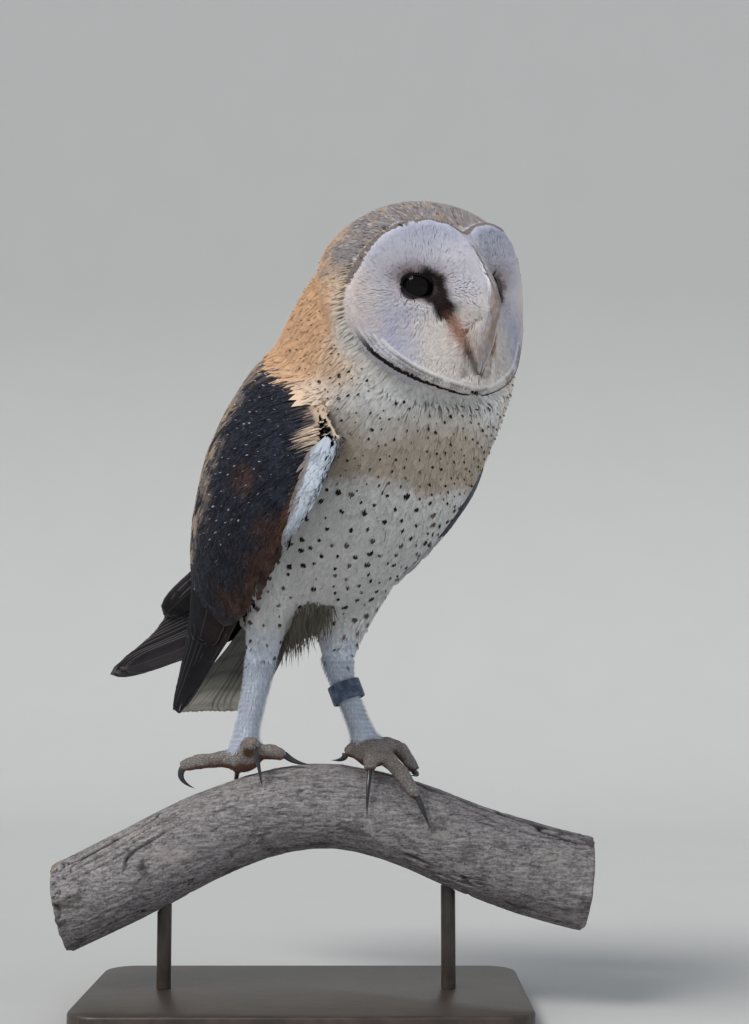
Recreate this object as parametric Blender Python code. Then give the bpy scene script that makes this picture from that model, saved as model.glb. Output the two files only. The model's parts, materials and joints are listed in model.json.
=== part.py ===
"""Barn owl, still, on a cut branch held by a plain stand. Metres, +Z up, origin under the base's centre."""

import math

import bmesh
import bpy
import numpy as np
from mathutils import Matrix, Vector

PERCH_TOP = 0.135  # height of the branch's top between the feet
BODY_TURN = math.radians(28)  # the bird faces this far towards +X of -Y
GAP = 0.0003

# Trunk: stations from the neck to the root of the tail.
# y, z, half width, ventral depth, dorsal depth
SPINE = (
    (-0.133, 0.217, 0.0520, 0.052, 0.067),
    (-0.112, 0.204, 0.0560, 0.062, 0.069),
    (-0.090, 0.190, 0.0580, 0.069, 0.066),
    (-0.064, 0.170, 0.0590, 0.068, 0.061),
    (-0.035, 0.147, 0.0570, 0.060, 0.054),
    (-0.004, 0.121, 0.0490, 0.047, 0.047),
    (0.024, 0.096, 0.0360, 0.031, 0.037),
    (0.046, 0.078, 0.0240, 0.015, 0.022),
)
NECK_END = 1.45  # station number where the neck meets the trunk
BACK_SQUARE = 2.3
AROUND = 26

# Tail: y, z, half width, half thickness
TAIL = (
    (0.0475, 0.0768, 0.0225, 0.0095),
    (0.075, 0.0605, 0.0250, 0.0060),
    (0.110, 0.0420, 0.0270, 0.0038),
    (0.135, 0.0295, 0.0270, 0.0022),
    (0.147, 0.0235, 0.0190, 0.0010),
)

# Head, in its own frame: u to the bird's left, v up, d out of the face.
FACE_AT = Vector((0.0, -0.1769, 0.2236))
FACE_YAW = math.radians(2.3)
FACE_ROLL = math.radians(-4.6)
RIM_RADII = (0.0454, 0.0443, 0.0453, 0.0472, 0.0500, 0.0508, 0.0482, 0.0411, 0.0315)
RIM_BACK = 0.0261
MIDLINE = ((-0.0454, 0), (-0.036, 0.0034), (-0.022, 0.0165), (-0.008, 0.024),
           (0.004, 0.0195), (0.018, 0.0112), (0.0315, 0))
RIDGE_WIDTH = 0.0085
DISH_FLOOR = -0.002
DOME_MID = -0.043
DOME_HALF = 0.073
DOME_WIDTH = 0.0550
DOME_UP = 0.0575
DOME_DOWN = 0.0430
DOME_SQUARE = 2.3
EYE_AT = (0.0228, 0.0088, -0.0146)
EYE_RADIUS = 0.0088

# Wing: lower edge, middle and upper edge of its outer face, as (out, y, z), then thickness in mm.
WING_RIGHT = (
    ((0.047, -0.136, 0.160), (0.053, -0.124, 0.178), (0.046, -0.108, 0.198), 5),
    ((0.058, -0.126, 0.128), (0.067, -0.094, 0.168), (0.052, -0.070, 0.216), 11),
    ((0.058, -0.090, 0.108), (0.069, -0.053, 0.152), (0.041, -0.030, 0.206), 13),
    ((0.053, -0.048, 0.090), (0.062, -0.013, 0.129), (0.028, 0.004, 0.179), 12),
    ((0.046, -0.008, 0.083), (0.052, 0.026, 0.107), (0.019, 0.036, 0.148), 8),
    ((0.038, 0.045, 0.062), (0.041, 0.068, 0.080), (0.016, 0.072, 0.112), 4.5),
    ((0.029, 0.100, 0.040), (0.031, 0.112, 0.052), (0.018, 0.114, 0.070), 3),
    ((0.021, 0.148, 0.020), (0.022, 0.156, 0.027), (0.019, 0.154, 0.036), 1.4),
)
WING_LEFT = (
    ((0.050, -0.096, 0.168), (0.055, -0.088, 0.186), (0.046, -0.076, 0.204), 5),
    ((0.058, -0.078, 0.146), (0.065, -0.060, 0.178), (0.048, -0.048, 0.212), 11),
    ((0.058, -0.048, 0.126), (0.065, -0.026, 0.160), (0.036, -0.014, 0.200), 13),
    ((0.049, -0.010, 0.101), (0.054, 0.010, 0.136), (0.018, 0.022, 0.176), 12),
    ((0.028, 0.028, 0.090), (0.032, 0.044, 0.117), (0.000, 0.050, 0.149), 8),
    ((0.000, 0.076, 0.076), (0.001, 0.084, 0.093), (-0.022, 0.086, 0.118), 4.5),
    ((-0.028, 0.124, 0.053), (-0.028, 0.132, 0.066), (-0.042, 0.132, 0.084), 3),
    ((-0.056, 0.170, 0.042), (-0.058, 0.177, 0.052), (-0.060, 0.172, 0.062), 1.4),
)

# Legs: (x, y, z, radius) down the feathered shank and the tarsus.
SHANK_RIGHT = ((-0.033, -0.044, 0.128, 0.021), (-0.029, -0.022, 0.103, 0.017),
               (-0.025, 0.000, 0.078, 0.0125), (-0.0225, 0.012, 0.060, 0.0098))
SHANK_LEFT = ((0.031, -0.036, 0.126, 0.021), (0.028, -0.016, 0.104, 0.0175),
              (0.024, 0.000, 0.080, 0.0145), (0.0210, 0.006, 0.060, 0.0108))
TARSUS_RIGHT = ((-0.0225, 0.0125, 0.0590, 0.0096), (-0.025, 0.0135, 0.042, 0.0080),
                (-0.029, 0.014, 0.024, 0.0074), (-0.0325, 0.0165, 0.0035, 0.0084))
TARSUS_LEFT = ((0.0210, 0.0055, 0.0590, 0.0106), (0.022, 0.001, 0.046, 0.0078),
               (0.0265, -0.005, 0.028, 0.0069), (0.0325, -0.0140, 0.0055, 0.0080))
RING_AT = 0.0385
RING_HEIGHT = 0.0105

# Feet on the branch: place along it, then each toe's heading (degrees from +X, minus is forwards),
# length, lift of its end, arch; and its claw's first droop, further curl (degrees) and length.
FOOT_RIGHT = -0.0360
FOOT_LEFT = 0.0365
TOES_RIGHT = (
    ("outer", 184, 0.034, 0.0130, 0.002, 72, 36, 0.0185),
    ("middle", -60, 0.018, 0.0150, 0.003, 72, 10, 0.024),
    ("inner", -15, 0.025, 0.0010, 0.003, 8, 20, 0.016),
    ("hind", 104, 0.017, 0.0020, 0.002, 15, 20, 0.017),
)
TOES_LEFT = (
    ("inner", -95, 0.020, 0.0020, 0.002, 26, 24, 0.028),
    ("middle", -50, 0.037, 0.0010, 0.003, 20, 44, 0.020),
    ("outer", 24, 0.026, 0.0020, 0.009, 30, 20, 0.016),
    ("hind", 174, 0.015, 0.0010, 0.003, 32, 10, 0.013),
)
TOE_RADIUS = 0.0046
CLAW_RADIUS = 0.0024
PALM = (0.0105, 0.0100, 0.0078)
PALM_HEIGHT = 0.0082
FOOT_GRAIN = 0.0011
FOOT_KEEP = 0.066

# Branch: place along X, height of its axis under the top, radius
BRANCH = (
    (-0.135, -0.0805, 0.0250),
    (-0.095, -0.0610, 0.0250),
    (-0.058, -0.0415, 0.0247),
    (-0.020, -0.0275, 0.0245),
    (0.015, -0.0245, 0.0243),
    (0.050, -0.0320, 0.0242),
    (0.085, -0.0450, 0.0250),
    (0.120, -0.0570, 0.0262),
    (0.155, -0.0665, 0.0270),
)

BASE_SIZE = (0.240, 0.150, 0.012)
BASE_CORNER = 0.018
ROD_RADIUS = 0.004
ROD_AT = 0.078

COLOURS = {
    "plumage_crown": (0.42, 0.33, 0.24),
    "plumage_pale": (0.80, 0.77, 0.72),
    "plumage_wing": (0.10, 0.10, 0.12),
    "plumage_neck": (0.62, 0.47, 0.32),
    "toe_skin": (0.36, 0.27, 0.22),
    "claw_horn": (0.03, 0.028, 0.028),
    "bill_horn": (0.72, 0.52, 0.44),
    "eye": (0.01, 0.008, 0.008),
    "ring_metal": (0.42, 0.47, 0.52),
    "branch_wood": (0.30, 0.26, 0.22),
    "stand_finish": (0.16, 0.15, 0.14),
}
ROUGHNESS = {"claw_horn": 0.25, "bill_horn": 0.4, "eye": 0.05, "ring_metal": 0.35, "stand_finish": 0.5}


def clear_scene():
    for obj in list(bpy.data.objects):
        bpy.data.objects.remove(obj)


def material(name):
    found = bpy.data.materials.get(name)
    if found:
        return found
    made = bpy.data.materials.new(name)
    made.use_nodes = True
    shader = made.node_tree.nodes["Principled BSDF"]
    shader.inputs["Base Color"].default_value = (*COLOURS[name], 1)
    shader.inputs["Roughness"].default_value = ROUGHNESS.get(name, 0.8)
    shader.inputs["Metallic"].default_value = 0.8 if name == "ring_metal" else 0.0
    return made


def spline(rows, t):
    """The row at station number t of a smooth curve through all the rows."""
    rows = [np.array(row, float) for row in rows]
    last = len(rows) - 1
    i = min(int(t), last - 1)
    f = t - i
    a, b = rows[i], rows[i + 1]
    before = rows[i - 1] if i else 2 * a - b
    after = rows[i + 2] if i + 2 <= last else 2 * b - a
    slope_a, slope_b = (b - before) / 2, (after - a) / 2
    return (
        (2 * f**3 - 3 * f**2 + 1) * a
        + (f**3 - 2 * f**2 + f) * slope_a
        + (3 * f**2 - 2 * f**3) * b
        + (f**3 - f**2) * slope_b
    )


def ease(x):
    x = min(max(x, 0.0), 1.0)
    return x * x * (3 - 2 * x)


def new_object(name, points, faces, slot):
    mesh = bpy.data.meshes.new(name)
    mesh.from_pydata([tuple(p) for p in points], [], faces)
    work = bmesh.new()
    work.from_mesh(mesh)
    bmesh.ops.recalc_face_normals(work, faces=work.faces)
    work.to_mesh(mesh)
    work.free()
    mesh.shade_smooth()
    obj = bpy.data.objects.new(name, mesh)
    bpy.context.scene.collection.objects.link(obj)
    mesh.materials.append(material(slot))
    return obj


def loft(name, rings, slot):
    """A closed solid through rings of equally many points, its ends fanned to their middles."""
    count = len(rings[0])
    points = [p for ring in rings for p in ring]
    faces = []
    for j in range(len(rings) - 1):
        for i in range(count):
            k = (i + 1) % count
            faces.append((j * count + i, j * count + k, (j + 1) * count + k, (j + 1) * count + i))
    for ring, base in ((rings[0], 0), (rings[-1], (len(rings) - 1) * count)):
        middle = len(points)
        points.append(np.mean([np.array(p) for p in ring], axis=0))
        faces += [(base + i, base + (i + 1) % count, middle) for i in range(count)]
    return new_object(name, points, faces, slot)


def boolean(obj, other, operation):
    modifier = obj.modifiers.new("cut", "BOOLEAN")
    modifier.operation = operation
    modifier.solver = "EXACT"
    modifier.object = other
    with bpy.context.temp_override(object=obj, active_object=obj):
        bpy.ops.object.modifier_apply(modifier=modifier.name)


def keep_largest(obj):
    """Drops any loose crumbs that a cut has left."""
    work = bmesh.new()
    work.from_mesh(obj.data)
    left, groups = set(work.verts), []
    while left:
        group, edge = set(), [left.pop()]
        while edge:
            vert = edge.pop()
            group.add(vert)
            for link in vert.link_edges:
                other = link.other_vert(vert)
                if other in left:
                    left.remove(other)
                    edge.append(other)
        groups.append(group)
    groups.sort(key=len)
    crumbs = [vert for group in groups[:-1] for vert in group]
    bmesh.ops.delete(work, geom=crumbs, context="VERTS")
    work.to_mesh(obj.data)
    work.free()


def cut_away(obj, other, gap=GAP):
    """Cuts obj by a swollen copy of its neighbour, so that the two meet without touching."""
    tool = other.copy()
    tool.data = other.data.copy()
    bpy.context.scene.collection.objects.link(tool)
    work = bmesh.new()
    work.from_mesh(tool.data)
    bmesh.ops.triangulate(work, faces=work.faces)
    work.normal_update()
    for vert in work.verts:
        vert.co += vert.normal * gap * 1.15
    work.to_mesh(tool.data)
    work.free()
    boolean(obj, tool, "DIFFERENCE")
    bpy.data.objects.remove(tool)
    keep_largest(obj)


def slice_off(obj, at, normal):
    """Removes what lies beyond the plane, on the side its normal points to, and closes the cut."""
    work = bmesh.new()
    work.from_mesh(obj.data)
    parts = list(work.verts) + list(work.edges) + list(work.faces)
    bmesh.ops.bisect_plane(work, geom=parts, plane_co=at, plane_no=normal, clear_outer=True, dist=1e-6)
    bmesh.ops.holes_fill(work, edges=[e for e in work.edges if e.is_boundary], sides=0)
    bmesh.ops.triangulate(work, faces=[f for f in work.faces if len(f.verts) > 4])
    bmesh.ops.recalc_face_normals(work, faces=work.faces)
    work.to_mesh(obj.data)
    work.free()


def spine_frame(t):
    """Middle, dorsal direction and tailward direction of the trunk's section at station t."""
    row = spline(SPINE, t)
    step = spline(SPINE, min(t + 0.05, len(SPINE) - 1)) - spline(SPINE, max(t - 0.05, 0))
    along = Vector((0, step[0], step[1])).normalized()
    return Vector((0, row[0], row[1])), Vector((0, -along.z, along.y)), along, row[2:]


def trunk_ring(t, shift=0.0):
    middle, dorsal, along, (wide, ventral, back) = spine_frame(t)
    ring = []
    for i in range(AROUND):
        angle = 2 * math.pi * i / AROUND
        c, s = math.cos(angle), math.sin(angle)
        deep = back if s > 0 else ventral
        if s > 0:
            full = (abs(c) ** BACK_SQUARE + s**BACK_SQUARE) ** (-1 / BACK_SQUARE)
            c, s = c * full, s * full
        ring.append(middle + along * shift + Vector((wide * c, 0, 0)) + dorsal * deep * s)
    return ring


def build_neck():
    return loft("neck", [trunk_ring(t) for t in np.linspace(0, NECK_END, 6)], "plumage_neck")


def build_trunk():
    stations = np.linspace(NECK_END, len(SPINE) - 1, 15)
    rings = [trunk_ring(t, GAP * 1.3 if t == NECK_END else 0) for t in stations]
    return loft("trunk", rings, "plumage_pale")


def build_tail():
    rings = []
    for t in np.linspace(0, len(TAIL) - 1, 11):
        y, z, wide, thick = spline(TAIL, t)
        near = spline(TAIL, min(t + 0.05, len(TAIL) - 1)) - spline(TAIL, max(t - 0.05, 0))
        along = Vector((0, near[0], near[1])).normalized()
        up = Vector((0, -along.z, along.y))
        ring = []
        for i in range(16):
            angle = 2 * math.pi * i / 16
            c, s = math.cos(angle), math.sin(angle)
            across = wide * math.copysign(abs(c) ** 0.8, c)
            sag = -0.12 * across * across / 0.027
            ring.append(Vector((across, y, z)) + up * (thick * s + sag))
        rings.append(ring)
    return loft("tail", rings, "plumage_pale")


def face_matrix():
    turn = Matrix.Rotation(FACE_YAW, 4, "Z") @ Matrix.Rotation(FACE_ROLL, 4, "Y")
    axes = Matrix(((1, 0, 0, 0), (0, 0, -1, 0), (0, 1, 0, 0), (0, 0, 0, 1)))
    return Matrix.Translation(FACE_AT) @ turn @ axes


def rim_radius(angle):
    """The heart's outline round the face, by the angle above the horizontal."""
    lift = math.degrees(math.asin(max(-1.0, min(1.0, math.sin(angle)))))
    stations = (-90, -65, -40, -20, 0, 25, 50, 70, 90)
    i = max(k for k in range(len(stations) - 1) if stations[k] <= lift)
    part = (lift - stations[i]) / (stations[i + 1] - stations[i])
    return float(spline([(r,) for r in RIM_RADII], i + part)[0])


def midline(v):
    heights = [row[0] for row in MIDLINE]
    v = min(max(v, heights[0]), heights[-1])
    i = max(k for k in range(len(heights) - 1) if heights[k] <= v)
    part = (v - heights[i]) / (heights[i + 1] - heights[i])
    return float(spline([(row[1],) for row in MIDLINE], i + part)[0])


def rim_depth(angle):
    return -RIM_BACK * abs(math.cos(angle)) ** 2.4


def dish_point(angle, part):
    reach = rim_radius(angle) * part
    u, v = reach * math.cos(angle), reach * math.sin(angle)
    floor = DISH_FLOOR + (rim_depth(angle) - DISH_FLOOR) * part**1.7
    ridge = math.exp(-((abs(u) / RIDGE_WIDTH) ** 1.5))
    return Vector((u, v, floor + (midline(v) - floor) * ridge))


def dome_point(angle, part):
    start = rim_depth(angle)
    end = DOME_MID - DOME_HALF
    d = start + (end - start) * part
    swell = math.sqrt(max(0.0, 1 - ((d - DOME_MID) / DOME_HALF) ** 2))
    tall = DOME_UP if math.sin(angle) > 0 else DOME_DOWN
    c, s = abs(math.cos(angle)) / DOME_WIDTH, abs(math.sin(angle)) / tall
    reach = swell / (c**DOME_SQUARE + s**DOME_SQUARE) ** (1 / DOME_SQUARE)
    reach = rim_radius(angle) + (reach - rim_radius(angle)) * ease(part / 0.22)
    return Vector((reach * math.cos(angle), reach * math.sin(angle), d))


def build_head():
    count = 30
    angles = [2 * math.pi * (i + 0.5) / count for i in range(count)]
    rings = []
    for part in (0.12, 0.26, 0.42, 0.6, 0.8, 1.0):
        rings.append([dish_point(a, part) for a in angles])
    for part in (0.07, 0.15, 0.26, 0.4, 0.56, 0.72, 0.86, 0.96):
        rings.append([dome_point(a, part) for a in angles])
    place = face_matrix()
    head = loft("head", [[place @ p for p in ring] for ring in rings], "plumage_crown")
    middle, dorsal, along, _ = spine_frame(0)
    slice_off(head, middle - along * GAP * 1.5, along)
    return head


def build_eye(side):
    place = face_matrix()
    work = bmesh.new()
    bmesh.ops.create_uvsphere(work, u_segments=14, v_segments=8, radius=EYE_RADIUS)
    u, v, d = EYE_AT
    bmesh.ops.transform(work, matrix=place @ Matrix.Translation((side * u, v, d)), verts=work.verts)
    mesh = bpy.data.meshes.new("eye")
    work.to_mesh(mesh)
    work.free()
    mesh.shade_smooth()
    mesh.materials.append(material("eye"))
    obj = bpy.data.objects.new("eye_left" if side > 0 else "eye_right", mesh)
    bpy.context.scene.collection.objects.link(obj)
    return obj


def tube(name, path, radii, slot, sides=10, flat=1.0, up=None):
    """A closed tube along the path, flattened along `up` by the factor flat."""
    path = [Vector(p) for p in path]
    rings = []
    guide = Vector(up) if up else Vector((0.3, 0.2, 1)).normalized()
    for i, p in enumerate(path):
        along = (path[min(i + 1, len(path) - 1)] - path[max(i - 1, 0)]).normalized()
        side = along.cross(guide)
        if side.length < 1e-6:
            side = along.orthogonal()
        side.normalize()
        top = side.cross(along).normalized()
        ring = []
        for k in range(sides):
            angle = 2 * math.pi * k / sides
            ring.append(p + side * radii[i] * math.cos(angle) + top * radii[i] * flat * math.sin(angle))
        rings.append(ring)
    return loft(name, rings, slot)


def build_bill():
    place = face_matrix()
    upper = ((0, -0.008, 0.0165), (0, -0.014, 0.0175), (0, -0.020, 0.0155),
             (0, -0.027, 0.0110), (0, -0.032, 0.0060), (0, -0.0355, 0.0015))
    lower = ((0, -0.020, 0.0075), (0, -0.025, 0.0050), (0, -0.029, 0.0015), (0, -0.032, -0.0010))
    radii = (0.0044, 0.0050, 0.0048, 0.0040, 0.0026, 0.0005)
    top = tube("bill_upper", [place @ Vector(p) for p in upper], radii, "bill_horn", 14)
    radii = (0.0036, 0.0036, 0.0026, 0.0008)
    under = tube("bill_lower", [place @ Vector(p) for p in lower], radii, "bill_horn", 10)
    cut_away(under, top)
    return top, under


def wing_section(rows, t, side):
    """The outer face of the wing at station t, lower edge to upper edge, and its thickness."""
    row = spline([(*low, *mid, *high, thick) for low, mid, high, thick in rows], t)
    low, mid, high = (Vector((side * row[k], row[k + 1], row[k + 2])) for k in (0, 3, 6))
    return low, mid, high, row[9] / 1000


def build_wing(name, rows, side):
    """A slab whose outer face runs through the rows and whose inner face lies the thickness inside it."""
    steps, across = 16, 9
    grid, thick = [], []
    for j in range(steps + 1):
        low, mid, high, deep = wing_section(rows, (len(rows) - 1) * j / steps, side)
        line = []
        for i in range(across):
            f = i / (across - 1)
            bend = mid * 2 - (low + high) / 2
            line.append(low * (1 - f) ** 2 + bend * 2 * f * (1 - f) + high * f**2)
        grid.append(line)
        thick.append(deep)
    rings = []
    for j, line in enumerate(grid):
        nxt, prv = grid[min(j + 1, steps)], grid[max(j - 1, 0)]
        inner = []
        for i, p in enumerate(line):
            over = line[min(i + 1, across - 1)] - line[max(i - 1, 0)]
            normal = (nxt[i] - prv[i]).cross(over).normalized() * -side
            f = i / (across - 1)
            inner.append(p - normal * max(thick[j] * (0.16 + 0.84 * math.sin(math.pi * f)), 0.0009))
        rings.append(line + inner[::-1])
    return loft(name, rings, "plumage_wing")


def branch_at(x):
    """Height of the branch's axis and its radius at x, in the frame whose origin is the branch's top."""
    places = [row[0] for row in BRANCH]
    x = min(max(x, places[0]), places[-1])
    i = max(k for k in range(len(places) - 1) if places[k] <= x)
    part = (x - places[i]) / (places[i + 1] - places[i])
    row = spline(BRANCH, i + part)
    return row[1], row[2]


def branch_slope(x):
    return (branch_at(x + 0.004)[0] - branch_at(x - 0.004)[0]) / 0.008


def branch_surface(x, angle, off):
    """A point off the bark by `off`, square to its axis; the angle runs from the top backwards."""
    height, radius = branch_at(x)
    reach = radius + off
    tilt = math.atan(branch_slope(x))
    out = reach * math.cos(angle)
    return Vector((x - out * math.sin(tilt), reach * math.sin(angle), height + out * math.cos(tilt)))


def build_branch():
    rings = []
    for x in np.linspace(BRANCH[0][0], BRANCH[-1][0], 20):
        ring = []
        for k in range(18):
            angle = 2 * math.pi * k / 18
            grain = 0.0005 * math.sin(3 * angle + 40 * x) - 0.0005
            ring.append(branch_surface(x, angle, grain) + Vector((0, 0, PERCH_TOP)))
        rings.append(ring)
    return loft("perch", rings, "branch_wood")


def toe_point(start, heading, length, off):
    """A point reached by going this length over the bark with this heading, then `off` outwards."""
    x = start + length * math.cos(heading)
    height, radius = branch_at(x)
    angle = length * math.sin(heading) / (radius + 0.005)
    tall = radius / math.cos(math.atan(branch_slope(x)))
    rise = (tall + off) * math.cos(angle)
    return Vector((x, (radius + off) * math.sin(angle), PERCH_TOP + height + rise))


def build_toe(start, heading, length, raised, arch):
    parts = [k / 9 for k in range(10)]
    radii = [TOE_RADIUS * (1.08 - 0.22 * f) * (1 + 0.09 * math.cos(f * 6 * math.pi)) for f in parts]
    radii[-1] *= 0.75
    path = []
    for f, radius in zip(parts, radii):
        base = 0.0008 + radius * 0.95 + 0.0025 * (1 - f) ** 2
        off = base + raised * f**1.2 + arch * math.sin(math.pi * f)
        path.append(toe_point(start, heading, length * f, off))
    return tube("toe", path, radii, "toe_skin", 8), path


def clear_of_bark(point, radius):
    """The point, moved straight out if a round of this radius there would bite into the bark."""
    height, bark = branch_at(point.x)
    squash = math.cos(math.atan(branch_slope(point.x)))
    rise = (point.z - PERCH_TOP - height) * squash
    far = math.hypot(point.y, rise)
    push = max(1.0, (bark + radius + 0.0004) / far)
    return Vector((point.x, point.y * push, PERCH_TOP + height + rise * push / squash))


def build_claw(name, path, outwards, droop, curl, length):
    """A tapering horn that leaves the toe's end drooping and curls on towards the bark."""
    along = (path[-1] - path[-2]).normalized()
    side = along.cross(outwards).normalized()
    top = side.cross(along).normalized()
    parts = [k / 8 for k in range(9)]
    at = path[-1] - along * 0.0012 + top * 0.0006
    points, radii = [], []
    for f in parts:
        radii.append(CLAW_RADIUS * (1 - f) ** 0.7 + 0.00034)
        points.append(at.copy())
        bend = math.radians(droop + curl * f)
        step = (along * math.cos(bend) - top * math.sin(bend)) * length / 8
        slid = clear_of_bark(at + step, radii[-1]) - at
        at = clear_of_bark(at + slid.normalized() * length / 8, radii[-1])
    return tube(name, points, radii, "claw_horn", 7, up=top)


def remesh(obj, grain, keep):
    """Makes one even skin of overlapping shapes, then thins its faces."""
    voxel = obj.modifiers.new("skin", "REMESH")
    voxel.mode = "VOXEL"
    voxel.voxel_size = grain
    thin = obj.modifiers.new("thin", "DECIMATE")
    thin.ratio = keep
    with bpy.context.temp_override(object=obj, active_object=obj):
        bpy.ops.object.modifier_apply(modifier=voxel.name)
        bpy.ops.object.modifier_apply(modifier=thin.name)
    obj.data.shade_smooth()


def join(obj, others):
    work = bmesh.new()
    work.from_mesh(obj.data)
    for other in others:
        work.from_mesh(other.data)
        bpy.data.objects.remove(other)
    work.to_mesh(obj.data)
    work.free()


def build_foot(side_name, start, toes):
    work = bmesh.new()
    bmesh.ops.create_uvsphere(work, u_segments=20, v_segments=12, radius=1)
    place = Matrix.Translation(toe_point(start, 0, 0, PALM_HEIGHT)) @ Matrix.Diagonal((*PALM, 1))
    bmesh.ops.transform(work, matrix=place, verts=work.verts)
    mesh = bpy.data.meshes.new("palm")
    work.to_mesh(mesh)
    work.free()
    mesh.materials.append(material("toe_skin"))
    foot = bpy.data.objects.new(f"foot_{side_name}", mesh)
    bpy.context.scene.collection.objects.link(foot)
    made, claws = [], []
    for name, degrees, length, raised, arch, droop, curl, claw in toes:
        heading = math.radians(degrees)
        toe, path = build_toe(start, heading, length, raised, arch)
        made.append(toe)
        outwards = toe_point(start, heading, length, 0.01) - toe_point(start, heading, length, 0)
        claws.append(build_claw(f"claw_{side_name}_{name}", path, outwards, droop, curl, claw))
    join(foot, made)
    remesh(foot, FOOT_GRAIN, FOOT_KEEP)
    for claw in claws:
        cut_away(claw, foot)
    return foot, claws


def limb(name, rows, slot):
    steps = 8
    path, radii = [], []
    for k in range(steps + 1):
        x, y, z, r = spline(rows, (len(rows) - 1) * k / steps)
        path.append(Vector((x, y, z)))
        radii.append(r)
    return tube(name, path, radii, slot, 12)


def build_ring():
    """A plain closed band round the left tarsus."""
    count = 60
    rows = [spline(TARSUS_LEFT, (len(TARSUS_LEFT) - 1) * k / count) for k in range(count + 1)]
    near = min(range(count + 1), key=lambda k: abs(rows[k][2] - RING_AT))
    middle = Vector(rows[near][:3])
    along = (Vector(rows[near + 2][:3]) - Vector(rows[near - 2][:3])).normalized()
    side = along.orthogonal().normalized()
    other = along.cross(side)
    inside = max(r[3] for r in rows if abs(r[2] - middle.z) < RING_HEIGHT * 0.7) + 0.0006
    points, faces, count = [], [], 24
    for k in range(count):
        angle = 2 * math.pi * k / count
        out = side * math.cos(angle) + other * math.sin(angle)
        for radius, end in ((inside, -1), (inside + 0.0011, -1), (inside + 0.0011, 1), (inside, 1)):
            points.append(middle + out * radius + along * end * RING_HEIGHT / 2)
    for k in range(count):
        n = (k + 1) % count
        faces += [(4 * k + a, 4 * k + (a + 1) % 4, 4 * n + (a + 1) % 4, 4 * n + a) for a in range(4)]
    return new_object("ring", points, faces, "ring_metal")


def build_stand(perch):
    wide, deep, high = BASE_SIZE
    bpy.ops.mesh.primitive_cube_add(size=1, location=(0, 0, high / 2))
    base = bpy.context.object
    base.name = "stand_base"
    base.scale = (wide, deep, high)
    bpy.ops.object.transform_apply(location=False, rotation=False, scale=True)
    work = bmesh.new()
    work.from_mesh(base.data)
    upright = [e for e in work.edges if abs(e.verts[0].co.z - e.verts[1].co.z) > high / 2]
    bmesh.ops.bevel(work, geom=upright, offset=BASE_CORNER, segments=6, affect="EDGES", profile=0.5)
    rim = [e for e in work.edges if min(v.co.z for v in e.verts) > high / 2 - 1e-5]
    rim = [e for e in rim if len(e.link_faces) == 2 and e.calc_face_angle(0) > 1]
    bmesh.ops.bevel(work, geom=rim, offset=0.0015, segments=2, affect="EDGES", profile=0.5)
    work.to_mesh(base.data)
    work.free()
    base.data.materials.append(material("stand_finish"))
    rods = []
    for number, x in ((1, -ROD_AT), (2, ROD_AT)):
        top = PERCH_TOP + branch_at(x)[0]
        low = high + GAP
        middle = (x, 0, (top + low) / 2)
        depth = top - low
        bpy.ops.mesh.primitive_cylinder_add(vertices=20, radius=ROD_RADIUS, depth=depth, location=middle)
        rod = bpy.context.object
        rod.name = f"stand_rod_{number}"
        bpy.ops.object.transform_apply(location=True, rotation=False, scale=True)
        rod.data.materials.append(material("stand_finish"))
        rod.data.shade_smooth()
        cut_away(rod, perch)
        rods.append(rod)
    return base, rods


def to_stand(obj):
    """From the bird's own frame to the stand's: turned about the vertical and raised onto the branch."""
    obj.data.transform(Matrix.Translation((0, 0, PERCH_TOP)) @ Matrix.Rotation(BODY_TURN, 4, "Z"))
    obj.data.update()


def main():
    clear_scene()
    neck = build_neck()
    trunk = build_trunk()
    head = build_head()
    eyes = [build_eye(1), build_eye(-1)]
    bill, under = build_bill()
    for piece in (*eyes, bill, under):
        cut_away(head, piece)
    tail = build_tail()
    wing_r = build_wing("wing_right", WING_RIGHT, -1)
    wing_l = build_wing("wing_left", WING_LEFT, 1)
    for wing in (wing_r, wing_l):
        cut_away(wing, trunk)
        cut_away(wing, neck)
        cut_away(wing, tail)
    cut_away(wing_l, wing_r)
    shanks = [limb("leg_right", SHANK_RIGHT, "plumage_pale"), limb("leg_left", SHANK_LEFT, "plumage_pale")]
    for shank in shanks:
        cut_away(shank, trunk)
        for wing in (wing_r, wing_l):
            cut_away(shank, wing)
    tarsi = [
        limb("tarsus_right", TARSUS_RIGHT, "plumage_pale"),
        limb("tarsus_left", TARSUS_LEFT, "plumage_pale"),
    ]
    for tarsus, shank in zip(tarsi, shanks):
        cut_away(tarsus, shank)
    ring = build_ring()
    for piece in (neck, trunk, head, *eyes, bill, under, tail, wing_r, wing_l, *shanks, *tarsi, ring):
        to_stand(piece)
    perch = build_branch()
    feet = []
    stances = (("right", FOOT_RIGHT, TOES_RIGHT), ("left", FOOT_LEFT, TOES_LEFT))
    for tarsus, (name, start, toes) in zip(tarsi, stances):
        foot, claws = build_foot(name, start, toes)
        cut_away(foot, perch)
        cut_away(tarsus, foot)
        for claw in claws:
            cut_away(claw, perch)
        feet.append(foot)
    build_stand(perch)


main()
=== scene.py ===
"""A life-size barn owl on a short branch, held by a plain stand: skin, plumage, horn, wood and light."""

import json
import math

import bpy
import numpy as np
from mathutils import Matrix, Vector
from mathutils.bvhtree import BVHTree

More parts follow.
